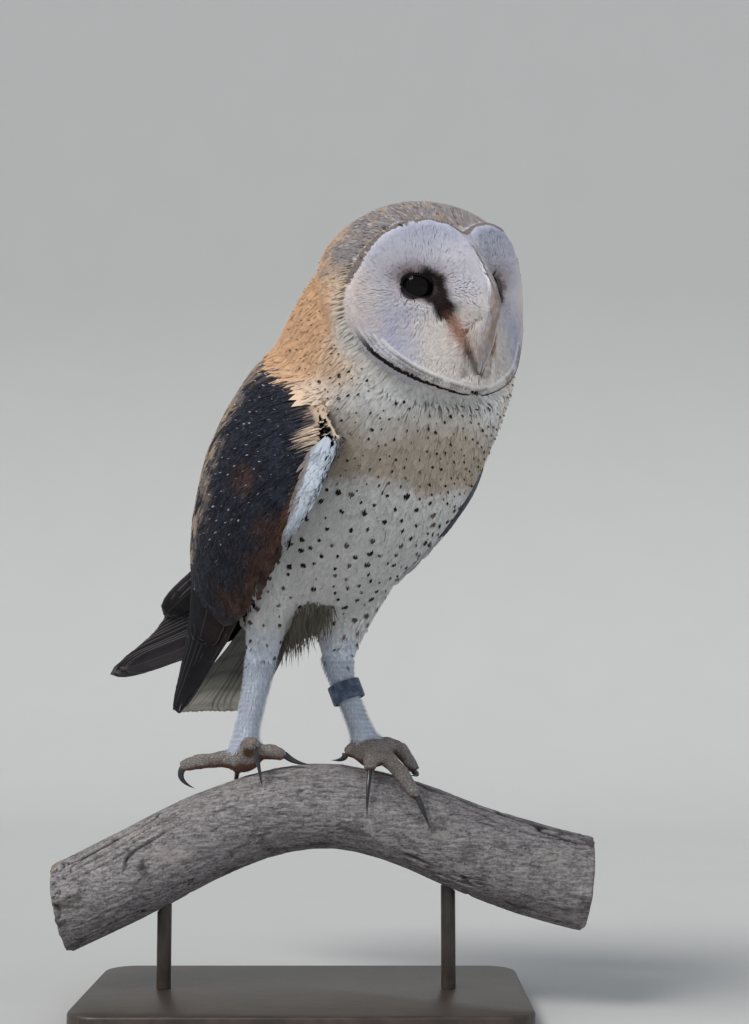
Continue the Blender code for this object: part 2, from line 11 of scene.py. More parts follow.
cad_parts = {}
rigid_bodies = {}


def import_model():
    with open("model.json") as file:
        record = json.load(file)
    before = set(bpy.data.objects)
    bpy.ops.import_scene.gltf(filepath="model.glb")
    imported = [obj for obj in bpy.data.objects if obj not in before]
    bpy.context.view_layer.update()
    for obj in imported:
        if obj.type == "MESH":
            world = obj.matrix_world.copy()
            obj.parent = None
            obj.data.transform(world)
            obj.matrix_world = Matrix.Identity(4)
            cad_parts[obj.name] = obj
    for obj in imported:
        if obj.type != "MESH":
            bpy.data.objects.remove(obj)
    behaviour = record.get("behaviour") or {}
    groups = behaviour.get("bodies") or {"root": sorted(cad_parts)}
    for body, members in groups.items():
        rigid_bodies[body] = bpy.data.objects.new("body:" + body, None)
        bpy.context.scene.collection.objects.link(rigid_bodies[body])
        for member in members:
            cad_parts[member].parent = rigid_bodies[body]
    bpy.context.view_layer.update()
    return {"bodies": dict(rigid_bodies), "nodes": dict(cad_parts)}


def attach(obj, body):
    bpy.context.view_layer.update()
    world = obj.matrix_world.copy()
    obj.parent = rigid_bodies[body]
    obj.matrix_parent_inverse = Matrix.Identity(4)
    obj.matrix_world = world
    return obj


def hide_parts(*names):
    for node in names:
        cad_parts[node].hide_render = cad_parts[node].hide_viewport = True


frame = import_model()
NODES = frame["nodes"]
BODY = next(iter(frame["bodies"]))

# ------------------------------------------------------------------ sizes, in metres
PERCH_TOP = 0.135
BODY_TURN = math.radians(28)
# backward and upward places of the body's middle line, from head to tail
SPINE = ((-0.133, 0.217), (-0.112, 0.204), (-0.090, 0.190), (-0.064, 0.170),
         (-0.035, 0.147), (-0.004, 0.121), (0.024, 0.096), (0.046, 0.078))
SPINE_STEPS = 140

# the face: its place, its turns, and the rim's radius at angles above level, the same on both sides
FACE_AT = (0, -0.1769, 0.2236)
FACE_YAW = math.radians(2.3)
FACE_ROLL = math.radians(-4.6)
RIM_ANGLES = (-90, -65, -40, -20, 0, 25, 50, 70, 90)
RIM_RADII = (0.0454, 0.0443, 0.0453, 0.0472, 0.0500, 0.0508, 0.0482, 0.0411, 0.0315)
RIM_FALL = 0.0261
# the head: its half width, its reach above and below the middle of the face, and its half length
DOME = (0.055, 0.0575, 0.043, 0.073)
# how far forward the ridge between the eyes stands at heights on the face
RIDGE_HEIGHTS = (-0.0454, -0.036, -0.022, -0.008, 0.004, 0.018, 0.0315)
RIDGE_DEPTHS = (0, 0.0026, 0.0142, 0.0212, 0.0192, 0.0112, 0)

# the eyes, measured from the middle of the face
EYE_AT = (0.0172, 0.0096, -0.0197)
EYE_RADIUS = 0.0105
EYE_AXIS = (0.49, -0.08, 1.0)
LID_WIDTH = 0.0077
LID_HEIGHT = 0.0051
LID_SLANT = math.radians(18)
LID_POWER = 1.85
LID_POINTS = 64
# turn beyond the opening's edge, and height over the eyeball
LID_RINGS = ((-0.03, 0.0002), (0.0, 0.0005), (0.04, 0.0010), (0.08, 0.0012),
             (0.14, 0.0012), (0.26, 0.0009), (0.42, 0.0007), (0.60, 0.0002))

CLAW_ROWS = 22
CLAW_SIDES = 14
CLAW_RADIUS = 0.0019
BRANCH_SLICES = 39
BRANCH_VOXEL = 0.0020

# the skin lies inside the flesh by the coat's depth, and the wings' tips are left to their quills
SKIN_VOXEL = 0.0019
SNOUT_VOXEL = 0.0011
WING_LINE = ((0, -0.13, 0.17), (0, 0.14, 0.03))
WING_CUT = 0.155
FLESH = ("head", "neck", "trunk", "leg_right", "leg_left", "tarsus_right",
         "tarsus_left", "foot_right", "foot_left")
WINGS = ("wing_right", "wing_left")
COAT_DEPTH = {"head": 0.0028, "neck": 0.0036, "trunk": 0.0042, "leg": 0.0030,
              "tarsus": 0.0009, "foot": 0.0, "wing": 0.0026}
FACE_DEPTH = 0.0014

# triangles in one piece of the coat, at the most
MOST_TRIANGLES = 190000
# random roots tried for each one that a cell of the grid keeps
ROOTS_TRIED = 9
# a tuft's share of the map, and the thickness of a vane
TUFT_PATCH = 0.003
VANE_WALL = 0.00035
FILAMENT_SPACING = 0.00066
BRISTLES = 1300

CAMERA_AT = (0.0375, -0.9096, 0.1790)
CAMERA_TILT = math.radians(96)
LENS = 56.95
FLOOR_FRONT = -5.9
FLOOR_DEPTH = 7
FLOOR_RADIUS = 0.9
FLOOR_BENDS = 14
BACKDROP_HEIGHT = 2.5

# the charts of the two wings, by side: -1 right, 1 left
CHARTS = {}

# ------------------------------------------------------------------ colours, linear
def tone(red, green, blue):
    return np.array((red, green, blue))


WHITE = tone(0.63, 0.63, 0.62)
SNOW = tone(0.70, 0.72, 0.75)
FACE_WHITE = tone(0.575, 0.56, 0.62)
BUFF = tone(0.60, 0.365, 0.215)
PALE_BUFF = tone(0.68, 0.53, 0.40)
# the breast band's own buff, darkened for the head's shadow on it: partly painted shadow
SHADED_BREAST = tone(0.42, 0.345, 0.265)
ASH = tone(0.200, 0.182, 0.184)
TAN = tone(0.345, 0.258, 0.190)
SLATE = tone(0.016, 0.018, 0.028)
SOOT = tone(0.012, 0.011, 0.012)
RUST = tone(0.130, 0.062, 0.036)
DARK_SPOT = tone(0.022, 0.016, 0.014)
TOE_GREY = tone(0.235, 0.218, 0.205)
TOE_RUST = tone(0.155, 0.078, 0.050)


# ------------------------------------------------------------------ frames and fields
def turned(matrix):
    return np.array(matrix, float)


TO_ROW = turned(Matrix.Rotation(BODY_TURN, 3, "Z"))
FACE_TURN = TO_ROW @ turned(Matrix.Rotation(FACE_YAW, 3, "Z") @ Matrix.Rotation(FACE_ROLL, 3, "Y"))
FACE_AXES = FACE_TURN @ np.array(((1, 0, 0), (0, 0, -1), (0, 1, 0)), float)


def to_row(points):
    return np.asarray(points, float) @ TO_ROW.T + (0, 0, PERCH_TOP)


def to_bird(points):
    return (np.asarray(points, float) - (0, 0, PERCH_TOP)) @ TO_ROW


FACE_ORIGIN = to_row(FACE_AT)


def in_face(points):
    """Leftward, upward and outward distance of each point from the middle of the face."""
    return (np.asarray(points, float) - FACE_ORIGIN) @ FACE_AXES


def from_face(spots):
    return np.asarray(spots, float) @ FACE_AXES.T + FACE_ORIGIN


def unit(vectors):
    return vectors / np.maximum(np.linalg.norm(vectors, axis=-1, keepdims=True), 1e-12)


def step(low, high, values):
    """0 below low, 1 above high, and a smooth rise between them."""
    part = np.clip((values - low) / (high - low), 0, 1)
    return part * part * (3 - 2 * part)


def fade(low, high, values):
    """1 below low, 0 above high, and a smooth fall between them."""
    return 1 - step(low, high, values)


def mixed(first, second, part):
    part = np.asarray(part)[..., None]
    return first * (1 - part) + second * part


def layered(colour, *layers):
    """A colour with others laid over it in turn, each by its own part."""
    for over, part in layers:
        colour = mixed(colour, over, part)
    return colour


def strayed(ways, random, amount):
    return unit(ways + (random.random(ways.shape) - 0.5) * amount)


def level(ways, normals):
    """The ways, laid flat on the surface."""
    return unit(ways - normals * (ways * normals).sum(1, keepdims=True))


def cloud(points, size, seed):
    """Smooth random values from 0 to 1 that change over the given size."""
    scaled = np.asarray(points, float) / size + seed * 17.31
    corner = np.floor(scaled).astype(np.int64)
    part = scaled - corner
    part = part * part * (3 - 2 * part)
    total = 0.0
    for number in range(8):
        offset = np.array((number & 1, number >> 1 & 1, number >> 2))
        cell = corner + offset
        mixed_bits = (cell[..., 0] * 73856093) ^ (cell[..., 1] * 19349663) ^ (cell[..., 2] * 83492791)
        mixed_bits = (mixed_bits ^ (mixed_bits >> 13)) * 1274126177 & 0x7FFFFFFF
        weight = np.prod(np.where(offset == 1, part, 1 - part), axis=-1)
        total = total + weight * ((mixed_bits >> 7) % 65536) / 65535.0
    return total


def rim_radius(angle):
    """The facial disc's radius at an angle from the bird's left, the same on both sides."""
    rise = np.degrees(np.arcsin(np.clip(np.sin(angle), -1, 1)))
    return np.interp(rise, RIM_ANGLES, RIM_RADII)


def rim_depth(angle):
    return -RIM_FALL * np.abs(np.cos(angle)) ** 2.4


def disc_part(points):
    """How far out each point is on the facial disc, from 0 at its middle to 1 at its rim, and 2 off it."""
    spots = in_face(points)
    angle = np.arctan2(spots[:, 1], spots[:, 0])
    part = np.hypot(spots[:, 0], spots[:, 1]) / rim_radius(angle)
    behind = spots[:, 2] < rim_depth(angle) - 0.0075 * step(0.6, 1.0, part) - 0.002
    return np.where(behind, 2.0, part)


SPINE_LINE = np.array([np.interp(np.linspace(0, len(SPINE) - 1, SPINE_STEPS + 1), range(len(SPINE)), places)
                       for places in zip(*SPINE)]).T
SPINE_WAY = unit(np.gradient(SPINE_LINE, axis=0))


def along_body(points):
    """Each point's share along the spine, its angle from the belly, and the way that the spine runs there."""
    bird = to_bird(points)
    apart = bird[:, None, 1:] - SPINE_LINE[None]
    near = np.argmin((apart ** 2).sum(-1), axis=1)
    away = apart[np.arange(len(bird)), near]
    way = SPINE_WAY[near]
    belly = away[:, 0] * way[:, 1] - away[:, 1] * way[:, 0]
    return near / SPINE_STEPS, np.arctan2(np.abs(bird[:, 0]), belly), way


EYE_OUT = unit(np.array(EYE_AXIS))
EYE_ACROSS = unit(np.cross((0, 1, 0), EYE_OUT))
EYE_AXES = np.stack((EYE_ACROSS, np.cross(EYE_OUT, EYE_ACROSS), EYE_OUT), 1)


def in_eye(points):
    """Distance of each point from the nearer eye's middle: away from the bill, upward, and out of the eye."""
    spots = in_face(points)
    spots[:, 0] = np.abs(spots[:, 0])
    return (spots - EYE_AT) @ EYE_AXES


def eye_reach(points):
    """How far outside the lids' slanted opening each point is: 1 at the edge of the opening."""
    across, rise, _ = in_eye(points).T
    cos, sin = math.cos(LID_SLANT), math.sin(LID_SLANT)
    return np.hypot((across * cos + rise * sin) / LID_WIDTH, (rise * cos - across * sin) / LID_HEIGHT)


def near_line(across, up, start, end):
    """Distance of each point from a straight line on the face, and its share along the line."""
    way = np.subtract(end, start)
    share = np.clip(((across - start[0]) * way[0] + (up - start[1]) * way[1]) / (way @ way), 0, 1)
    return np.hypot(across - start[0] - way[0] * share, up - start[1] - way[1] * share), share


# ------------------------------------------------------------------ small modelling tools
def only(*objects):
    bpy.ops.object.select_all(action="DESELECT")
    for piece in objects:
        piece.select_set(True)
    bpy.context.view_layer.objects.active = objects[0]


def edited(piece, operator, **settings):
    """Runs one edit-mode operator on everything in a piece."""
    only(piece)
    bpy.ops.object.mode_set(mode="EDIT")
    bpy.ops.mesh.select_all(action="SELECT")
    operator(**settings)
    bpy.ops.object.mode_set(mode="OBJECT")


def added(name, data):
    piece = bpy.data.objects.new(name, data)
    bpy.context.scene.collection.objects.link(piece)
    return piece


def built(name, points, faces):
    mesh = bpy.data.meshes.new(name)
    mesh.from_pydata(points.tolist(), [], faces)
    mesh.update()
    return added(name, mesh)


def smoothed(piece):
    only(piece)
    bpy.ops.object.shade_smooth()
    return piece


def copied(node, name):
    """A welded copy of a solid, to be worked on."""
    piece = added(name, NODES[node].data.copy())
    piece.data.materials.clear()
    edited(piece, bpy.ops.mesh.remove_doubles, threshold=1e-5)
    edited(piece, bpy.ops.mesh.normals_make_consistent, inside=False)
    return piece


def modified(piece, kind, **settings):
    only(piece)
    modifier = piece.modifiers.new(kind.title(), kind)
    for key, value in settings.items():
        setattr(modifier, key, value)
    bpy.ops.object.modifier_apply(modifier=modifier.name)


def joined(pieces, name):
    only(*pieces)
    if len(pieces) > 1:
        bpy.ops.object.join()
    pieces[0].name = name
    pieces[0].data.name = name
    return pieces[0]


def listed(items, name, width, kind=np.float32):
    """One property of all of a mesh's items, as rows."""
    values = np.empty(len(items) * width, kind)
    items.foreach_get(name, values)
    return values.reshape(-1, width)


def points_of(piece):
    return listed(piece.data.vertices, "co", 3).astype(float)


def normals_of(piece):
    return listed(piece.data.vertex_normals, "vector", 3).astype(float)


def triangles_of(piece):
    piece.data.calc_loop_triangles()
    return listed(piece.data.loop_triangles, "vertices", 3, np.int32)


def set_points(piece, points):
    piece.data.vertices.foreach_set("co", points.astype(np.float32).ravel())
    piece.data.update()


def evened(piece, values, rounds):
    """Values on a mesh's points, averaged with their neighbours."""
    ends = listed(piece.data.edges, "vertices", 2, np.int32)
    count = np.bincount(ends.ravel(), minlength=len(values)).astype(float)
    values = np.array(values, float)
    flat = values.reshape(len(values), -1)
    for _ in range(rounds):
        total = np.stack([np.bincount(ends[:, 0], flat[ends[:, 1], k], len(flat))
                          + np.bincount(ends[:, 1], flat[ends[:, 0], k], len(flat))
                          for k in range(flat.shape[1])], 1)
        flat = 0.5 * flat + 0.5 * total / np.maximum(count, 1)[:, None]
    return flat.reshape(values.shape)


def painted(piece, colours):
    layer = piece.data.attributes.new("tint", "FLOAT_COLOR", "POINT")
    full = np.ones((len(colours), 4), np.float32)
    full[:, :3] = colours
    layer.data.foreach_set("color", full.ravel())


def weighted(piece, values, name):
    layer = piece.data.attributes.new(name, "FLOAT", "POINT")
    layer.data.foreach_set("value", np.asarray(values, np.float32))


def dressed(piece, material, slot, *nodes):
    """The finished piece rides on the body, with its material, and stands for its solids."""
    piece.data.materials.clear()
    piece.data.materials.append(material)
    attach(piece, BODY)
    if nodes:
        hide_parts(*nodes)
    return piece


class Surface:
    """A mesh that feathers are laid on: its nearest points, smooth normals and random roots."""

    def __init__(self, piece):
        self.co, self.tris = points_of(piece), triangles_of(piece)
        self.tree = BVHTree.FromPolygons(self.co.tolist(), self.tris.tolist())
        corners = self.co[self.tris]
        first, second = corners[:, 1] - corners[:, 0], corners[:, 2] - corners[:, 0]
        self.area = 0.5 * np.linalg.norm(np.cross(first, second), axis=1)
        self.middle = corners.mean(1)
        self.normal = unit(normals_of(piece)[self.tris].sum(1))

    def nearest(self, points):
        find = self.tree.find_nearest
        found = [find(p) for p in np.asarray(points, float).tolist()]
        face = np.array([f[2] for f in found])
        return np.array([f[0][:] for f in found]), self.normal[face], face

    def scattered(self, faces, spacing, seed):
        """About one random point for each cell of a grid, on the given faces."""
        random = np.random.default_rng(seed)
        area = self.area[faces]
        count = int(area.sum() / spacing ** 2 * ROOTS_TRIED)
        chosen = faces[random.choice(len(faces), count, p=area / area.sum())]
        first, second = random.random((2, count))
        swap = first + second > 1
        first[swap], second[swap] = 1 - first[swap], 1 - second[swap]
        a, b, c = np.moveaxis(self.co[self.tris[chosen]], 1, 0)
        spots = a + (b - a) * first[:, None] + (c - a) * second[:, None]
        cell = np.floor(spots / spacing + random.random(3)).astype(np.int64)
        key = (cell[:, 0] * 4096 + cell[:, 1]) * 4096 + cell[:, 2]
        _, kept = np.unique(key, return_index=True)
        return spots[kept], self.normal[chosen[kept]], chosen[kept]


# ------------------------------------------------------------------ materials
class Value:
    """A number socket, to which Python's operators add Math nodes."""

    def __init__(self, finish, socket):
        self.finish = finish
        self.socket = socket

    def math(self, operation, *others):
        values = dict(enumerate((self, *others)))
        node = self.finish.node("ShaderNodeMath", {"operation": operation}, values)
        return Value(self.finish, node.outputs[0])

    def __add__(self, other):
        return self.math("ADD", other)

    def __mul__(self, other):
        return self.math("MULTIPLY", other)

    def __sub__(self, other):
        return self.math("SUBTRACT", other)

    def __rsub__(self, other):
        return (self * -1) + other

    __radd__ = __add__
    __rmul__ = __mul__

    def rise(self, low, high):
        """0 below low, 1 above high, smooth between them."""
        settings = {"interpolation_type": "SMOOTHSTEP"}
        sockets = {"Value": self, "From Min": low, "From Max": high}
        return Value(self.finish, self.finish.node("ShaderNodeMapRange", settings, sockets).outputs[0])


class Finish:
    """A material with one Principled shader, and the nodes that feed it."""

    def __init__(self, name, **constants):
        self.material = bpy.data.materials.new(name)
        self.material.use_nodes = True
        self.tree = self.material.node_tree
        self.shader = self.tree.nodes["Principled BSDF"]
        for key, value in constants.items():
            self.shader.inputs[key.replace("_", " ").title().replace("Ior", "IOR")].default_value = value

    def node(self, kind, settings=None, sockets=None):
        node = self.tree.nodes.new(kind)
        for key, value in (settings or {}).items():
            setattr(node, key, value)
        for key, value in (sockets or {}).items():
            socket = node.inputs[key]
            if isinstance(value, Value):
                self.tree.links.new(value.socket, socket)
            elif isinstance(value, bpy.types.NodeSocket):
                self.tree.links.new(value, socket)
            else:
                socket.default_value = value
        return node

    def place(self, scale=(1, 1, 1)):
        coordinates = self.node("ShaderNodeTexCoord").outputs["Object"]
        return self.node("ShaderNodeMapping", {}, {"Vector": coordinates, "Scale": scale}).outputs[0]

    def noise(self, vector, scale, detail=3.0, roughness=0.55, warp=0.0):
        sockets = {"Vector": vector, "Scale": scale, "Detail": detail,
                   "Roughness": roughness, "Distortion": warp}
        return Value(self, self.node("ShaderNodeTexNoise", {}, sockets).outputs["Fac"])

    def cell_edges(self, vector, scale, randomness):
        """Distance from the edges of irregular cells."""
        sockets = {"Vector": vector, "Scale": scale, "Randomness": randomness}
        node = self.node("ShaderNodeTexVoronoi", {"feature": "DISTANCE_TO_EDGE"}, sockets)
        return Value(self, node.outputs["Distance"])

    def carried(self, name, output="Fac"):
        """What the mesh itself carries under a name."""
        return self.node("ShaderNodeAttribute", {"attribute_name": name}).outputs[output]

    def number(self, name):
        return Value(self, self.carried(name))

    def vane(self):
        """The place across and along its own feather, and the feather's own number."""
        node = self.node("ShaderNodeSeparateXYZ", {}, {0: self.carried("vane", "Vector")})
        return [Value(self, socket) for socket in node.outputs]

    def barbs(self, across, along, own, scale, detail, roughness):
        """Streaks that run along each feather, and differ from feather to feather."""
        lay = self.node("ShaderNodeCombineXYZ", {}, {0: across, 1: along, 2: own * 57})
        return self.noise(lay.outputs[0], scale, detail, roughness)

    def blend(self, first, second, factor, kind="MIX"):
        """Two colours mixed; each is a socket or a colour."""
        first, second = ((*colour, 1) if np.ndim(colour) else colour for colour in (first, second))
        sockets = {6: first, 7: second, 0: factor}
        return self.node("ShaderNodeMix", {"data_type": "RGBA", "blend_type": kind}, sockets).outputs[2]

    def shaded(self, colour, value):
        """A colour made lighter or darker by a value about 1."""
        grey = self.node("ShaderNodeCombineColor", {}, {0: value, 1: value, 2: value}).outputs[0]
        return self.blend(colour, grey, 1.0, "MULTIPLY")

    def feed(self, colour, roughness=None, height=None, depth=0.0005, strength=1.0):
        """Links what was made to the shader, and hands back the material."""
        self.tree.links.new(colour, self.shader.inputs["Base Color"])
        if roughness is not None:
            self.tree.links.new(roughness.socket, self.shader.inputs["Roughness"])
        if height is not None:
            sockets = {"Height": height, "Distance": depth, "Strength": strength}
            bump = self.node("ShaderNodeBump", {}, sockets)
            self.tree.links.new(bump.outputs[0], self.shader.inputs["Normal"])
        return self.material


def plumage_finish(name="soft_plumage", fleck=None):
    """Small feathers: their own tint with fine streaks of barbs, and pale flecks if asked for."""
    finish = Finish(name, roughness=0.88, specular_ior_level=0.12, sheen_weight=0.03, sheen_roughness=0.5)
    tint = finish.carried("tint", "Color")
    across, along, own = finish.vane()
    barbs = finish.barbs(across * 2.2 + own * 31, along * 1.3, own, 1.6, 3.0, 0.6)
    grain = finish.noise(finish.place(), 420, 2.0, 0.6)
    if fleck is None:
        colour = finish.shaded(tint, barbs * 0.20 + grain * 0.14 + 0.83)
    else:
        colour = finish.shaded(tint, barbs * 0.8 + 0.6)
        colour = finish.blend(colour, fleck, grain.rise(0.56, 0.74) * barbs.rise(0.40, 0.60) * 0.75)
    return finish.feed(colour, height=barbs, depth=0.0002, strength=0.3)


def covert_finish():
    """Larger wing coverts: slate with fine pale flecks, and a small white spot near the tip of many."""
    finish = Finish("wing_coverts", roughness=0.85, specular_ior_level=0.14)
    tint = finish.carried("tint", "Color")
    across, along, own = finish.vane()
    spot = finish.number("spot")
    barbs = finish.barbs(across * 3.2 + own * 31, along * 2.2, own, 2.4, 4.0, 0.65)
    grain = finish.noise(finish.place(), 620, 3.0, 0.7)
    colour = finish.shaded(tint, barbs * 0.9 + 0.55)
    colour = finish.blend(colour, (0.105, 0.100, 0.105), grain.rise(0.56, 0.72) * 0.55)
    colour = finish.blend(colour, (0.085, 0.080, 0.085), (across * across).rise(0.70, 0.95) * 0.6)
    reach = (across * across) * 26 + (along - 0.92) * (along - 0.92) * 900
    colour = finish.blend(colour, SOOT, (1 - reach.rise(0.9, 2.3)) * spot)
    colour = finish.blend(colour, (0.46, 0.47, 0.52), (1 - reach.rise(0.35, 0.8)) * spot)
    return finish.feed(colour, height=barbs + grain * 0.5, depth=0.00025, strength=0.5)


def flight_finish():
    """Flight and tail feathers: faint bars, a shaft with slanting barbs, and a pale fringe round each."""
    finish = Finish("flight_feathers", roughness=0.80, specular_ior_level=0.08)
    tint = finish.carried("tint", "Color")
    across, along, own = finish.vane()
    bars = finish.number("spot")
    out = across * across
    barbs = finish.barbs(across * 6 + own * 31, along * 3 - out, own, 3.0, 4.0, 0.7)
    wave = (along * 34 + barbs * 1.1 + out * 1.5).math("SINE")
    grain = finish.noise(finish.place(), 480, 3.0, 0.7)
    colour = finish.shaded(tint, barbs * 0.8 + grain * 0.4 + 0.40)
    colour = finish.blend(colour, finish.shaded(colour, barbs * 0.1 + 0.35), wave.rise(0.25, 0.85) * bars)
    shaft = 1 - out.rise(0.0006, 0.004)
    colour = finish.blend(colour, (0.05, 0.045, 0.042), shaft * 0.7)
    fringe = out.rise(0.80, 0.97).math("MAXIMUM", along.rise(0.972, 0.996))
    colour = finish.blend(colour, (0.15, 0.145, 0.15), fringe * (barbs * 0.9 + 0.1) * 0.75)
    return finish.feed(colour, height=barbs + shaft, depth=0.0003, strength=0.5)


def skin_finish():
    """Skin: plain under the coat, finely scaled on the bare toes."""
    finish = Finish("bird_skin", roughness=0.7, specular_ior_level=0.25)
    tint = finish.carried("tint", "Color")
    bare = finish.number("bare")
    plates = finish.cell_edges(finish.place((1, 1, 1.3)), 560, 0.8)
    grooves = 1 - plates.rise(0.02, 0.16)
    grain = finish.noise(finish.place(), 1200, 3.0, 0.65)
    blotch = finish.noise(finish.place(), 260, 3.0, 0.6)
    colour = finish.shaded(tint, grain * 0.4 + blotch * 0.7 + 0.45)
    colour = finish.blend(colour, finish.shaded(colour, grain * 0.2 + 0.35), grooves * bare * 0.7)
    rough = grain * 0.25 + 0.55
    return finish.feed(colour, rough, height=(1 - grooves) * bare + grain * 0.25, depth=0.0004, strength=0.8)


def eye_finish():
    """A wet, nearly black eye."""
    finish = Finish("dark_eye", specular_ior_level=0.14)
    grain = finish.noise(finish.place(), 900, 3.0, 0.6)
    colour = finish.blend((0.0022, 0.0018, 0.0018), (0.009, 0.005, 0.003), grain.rise(0.4, 0.8))
    return finish.feed(colour, grain * 0.02 + 0.03)


def horn_finish(name, deep, light, rough=0.22, coat=0.5):
    """Claws and bill: dark to light along fine growth lines."""
    finish = Finish(name, coat_weight=coat, coat_roughness=0.12)
    lines = finish.noise(finish.place((1, 1, 2.5)), 330, 4.0, 0.65, 0.6)
    grain = finish.noise(finish.place(), 1500, 2.0)
    colour = finish.blend(deep, light, lines.rise(0.42, 0.75))
    return finish.feed(colour, lines * 0.22 + rough, height=lines + grain * 0.3, depth=0.0001, strength=0.4)


def metal_finish():
    finish = Finish("anodised_band", metallic=0.85)
    brushed = finish.noise(finish.place((1, 1, 14)), 420, 3.0, 0.6)
    worn = finish.noise(finish.place(), 260, 4.0, 0.7)
    bright = (worn * 0.7 + brushed * 0.5).rise(0.52, 0.85)
    colour = finish.blend((0.060, 0.085, 0.135), (0.22, 0.26, 0.32), bright)
    return finish.feed(colour, brushed * 0.3 + 0.28, height=brushed + worn, depth=0.0001, strength=0.4)


def wood_finish():
    """Weathered grey bark: long cracks, dark hollows, and end grain with rings."""
    finish = Finish("weathered_branch", roughness=0.9, specular_ior_level=0.12)
    crack = finish.number("crack")
    cut = finish.number("cut")
    ring = finish.number("ring")
    fibre = finish.noise(finish.place((1, 5, 5)), 130, 5.0, 0.7, 0.5)
    grain = finish.noise(finish.place(), 700, 4.0, 0.7)
    patch = finish.noise(finish.place((1, 1.6, 1.6)), 34, 4.0, 0.6, 0.4)
    pale = (fibre * 0.75 + grain * 0.45).rise(0.42, 0.80)
    colour = finish.blend((0.105, 0.096, 0.098), (0.36, 0.34, 0.345), pale)
    colour = finish.blend(colour, (0.065, 0.056, 0.056), patch.rise(0.57, 0.68) * 0.75)
    colour = finish.blend(colour, (0.38, 0.345, 0.32), (1 - patch.rise(0.30, 0.42)) * 0.45)
    colour = finish.blend(colour, (0.020, 0.016, 0.015), crack)
    rings = ((ring * 420).math("SINE") + grain).rise(-0.3, 1.5)
    heart = finish.blend((0.17, 0.115, 0.075), (0.30, 0.235, 0.17), rings)
    colour = finish.blend(colour, heart, cut)
    height = fibre * 0.8 + grain * 0.5 - crack * 0.8
    return finish.feed(colour, grain * 0.15 + 0.78, height=height, depth=0.0008, strength=0.9)


def stand_finish():
    finish = Finish("satin_stand", specular_ior_level=0.4)
    grain = finish.noise(finish.place((1, 9, 1)), 60, 5.0, 0.65, 0.3)
    fine = finish.noise(finish.place(), 1100, 2.0)
    colour = finish.blend((0.030, 0.024, 0.020), (0.060, 0.046, 0.036), grain.rise(0.35, 0.7))
    return finish.feed(colour, fine * 0.16 + 0.34, height=grain + fine * 0.4, depth=0.0001, strength=0.3)


def stage_finish():
    finish = Finish("pale_floor", roughness=0.9, specular_ior_level=0.05)
    grain = finish.noise(finish.place(), 9, 2.0)
    return finish.feed(finish.blend((0.47, 0.475, 0.475), (0.49, 0.495, 0.495), grain))


# ------------------------------------------------------------------ the bird's own colours
def ridge_marks(points):
    """How much of the tan ridge between the eyes, and of the bright line beside it, lies at each point."""
    s, v, _ = in_face(points).T
    heights = (-0.034, -0.025, -0.007, 0.003, 0.018, 0.030)
    middle = np.interp(v, heights, (-0.0006, -0.0014, -0.0008, 0.0020, 0.0030, 0.0028))
    half = np.interp(v, heights, (0.0010, 0.0026, 0.0034, 0.0031, 0.0027, 0.0018))
    band = fade(-0.0007, 0.0012, np.abs(s - middle) - half)
    band = band * fade(0.026, 0.033, v) * step(-0.036, -0.032, v)
    line = fade(0.0003, 0.0011, np.abs(s - middle + half + 0.0004)) * step(-0.014, -0.008, v)
    broken = 0.45 + 0.55 * step(0.3, 0.6, cloud(points, 0.0013, 17))
    return band, line * fade(0.028, 0.032, v) * broken


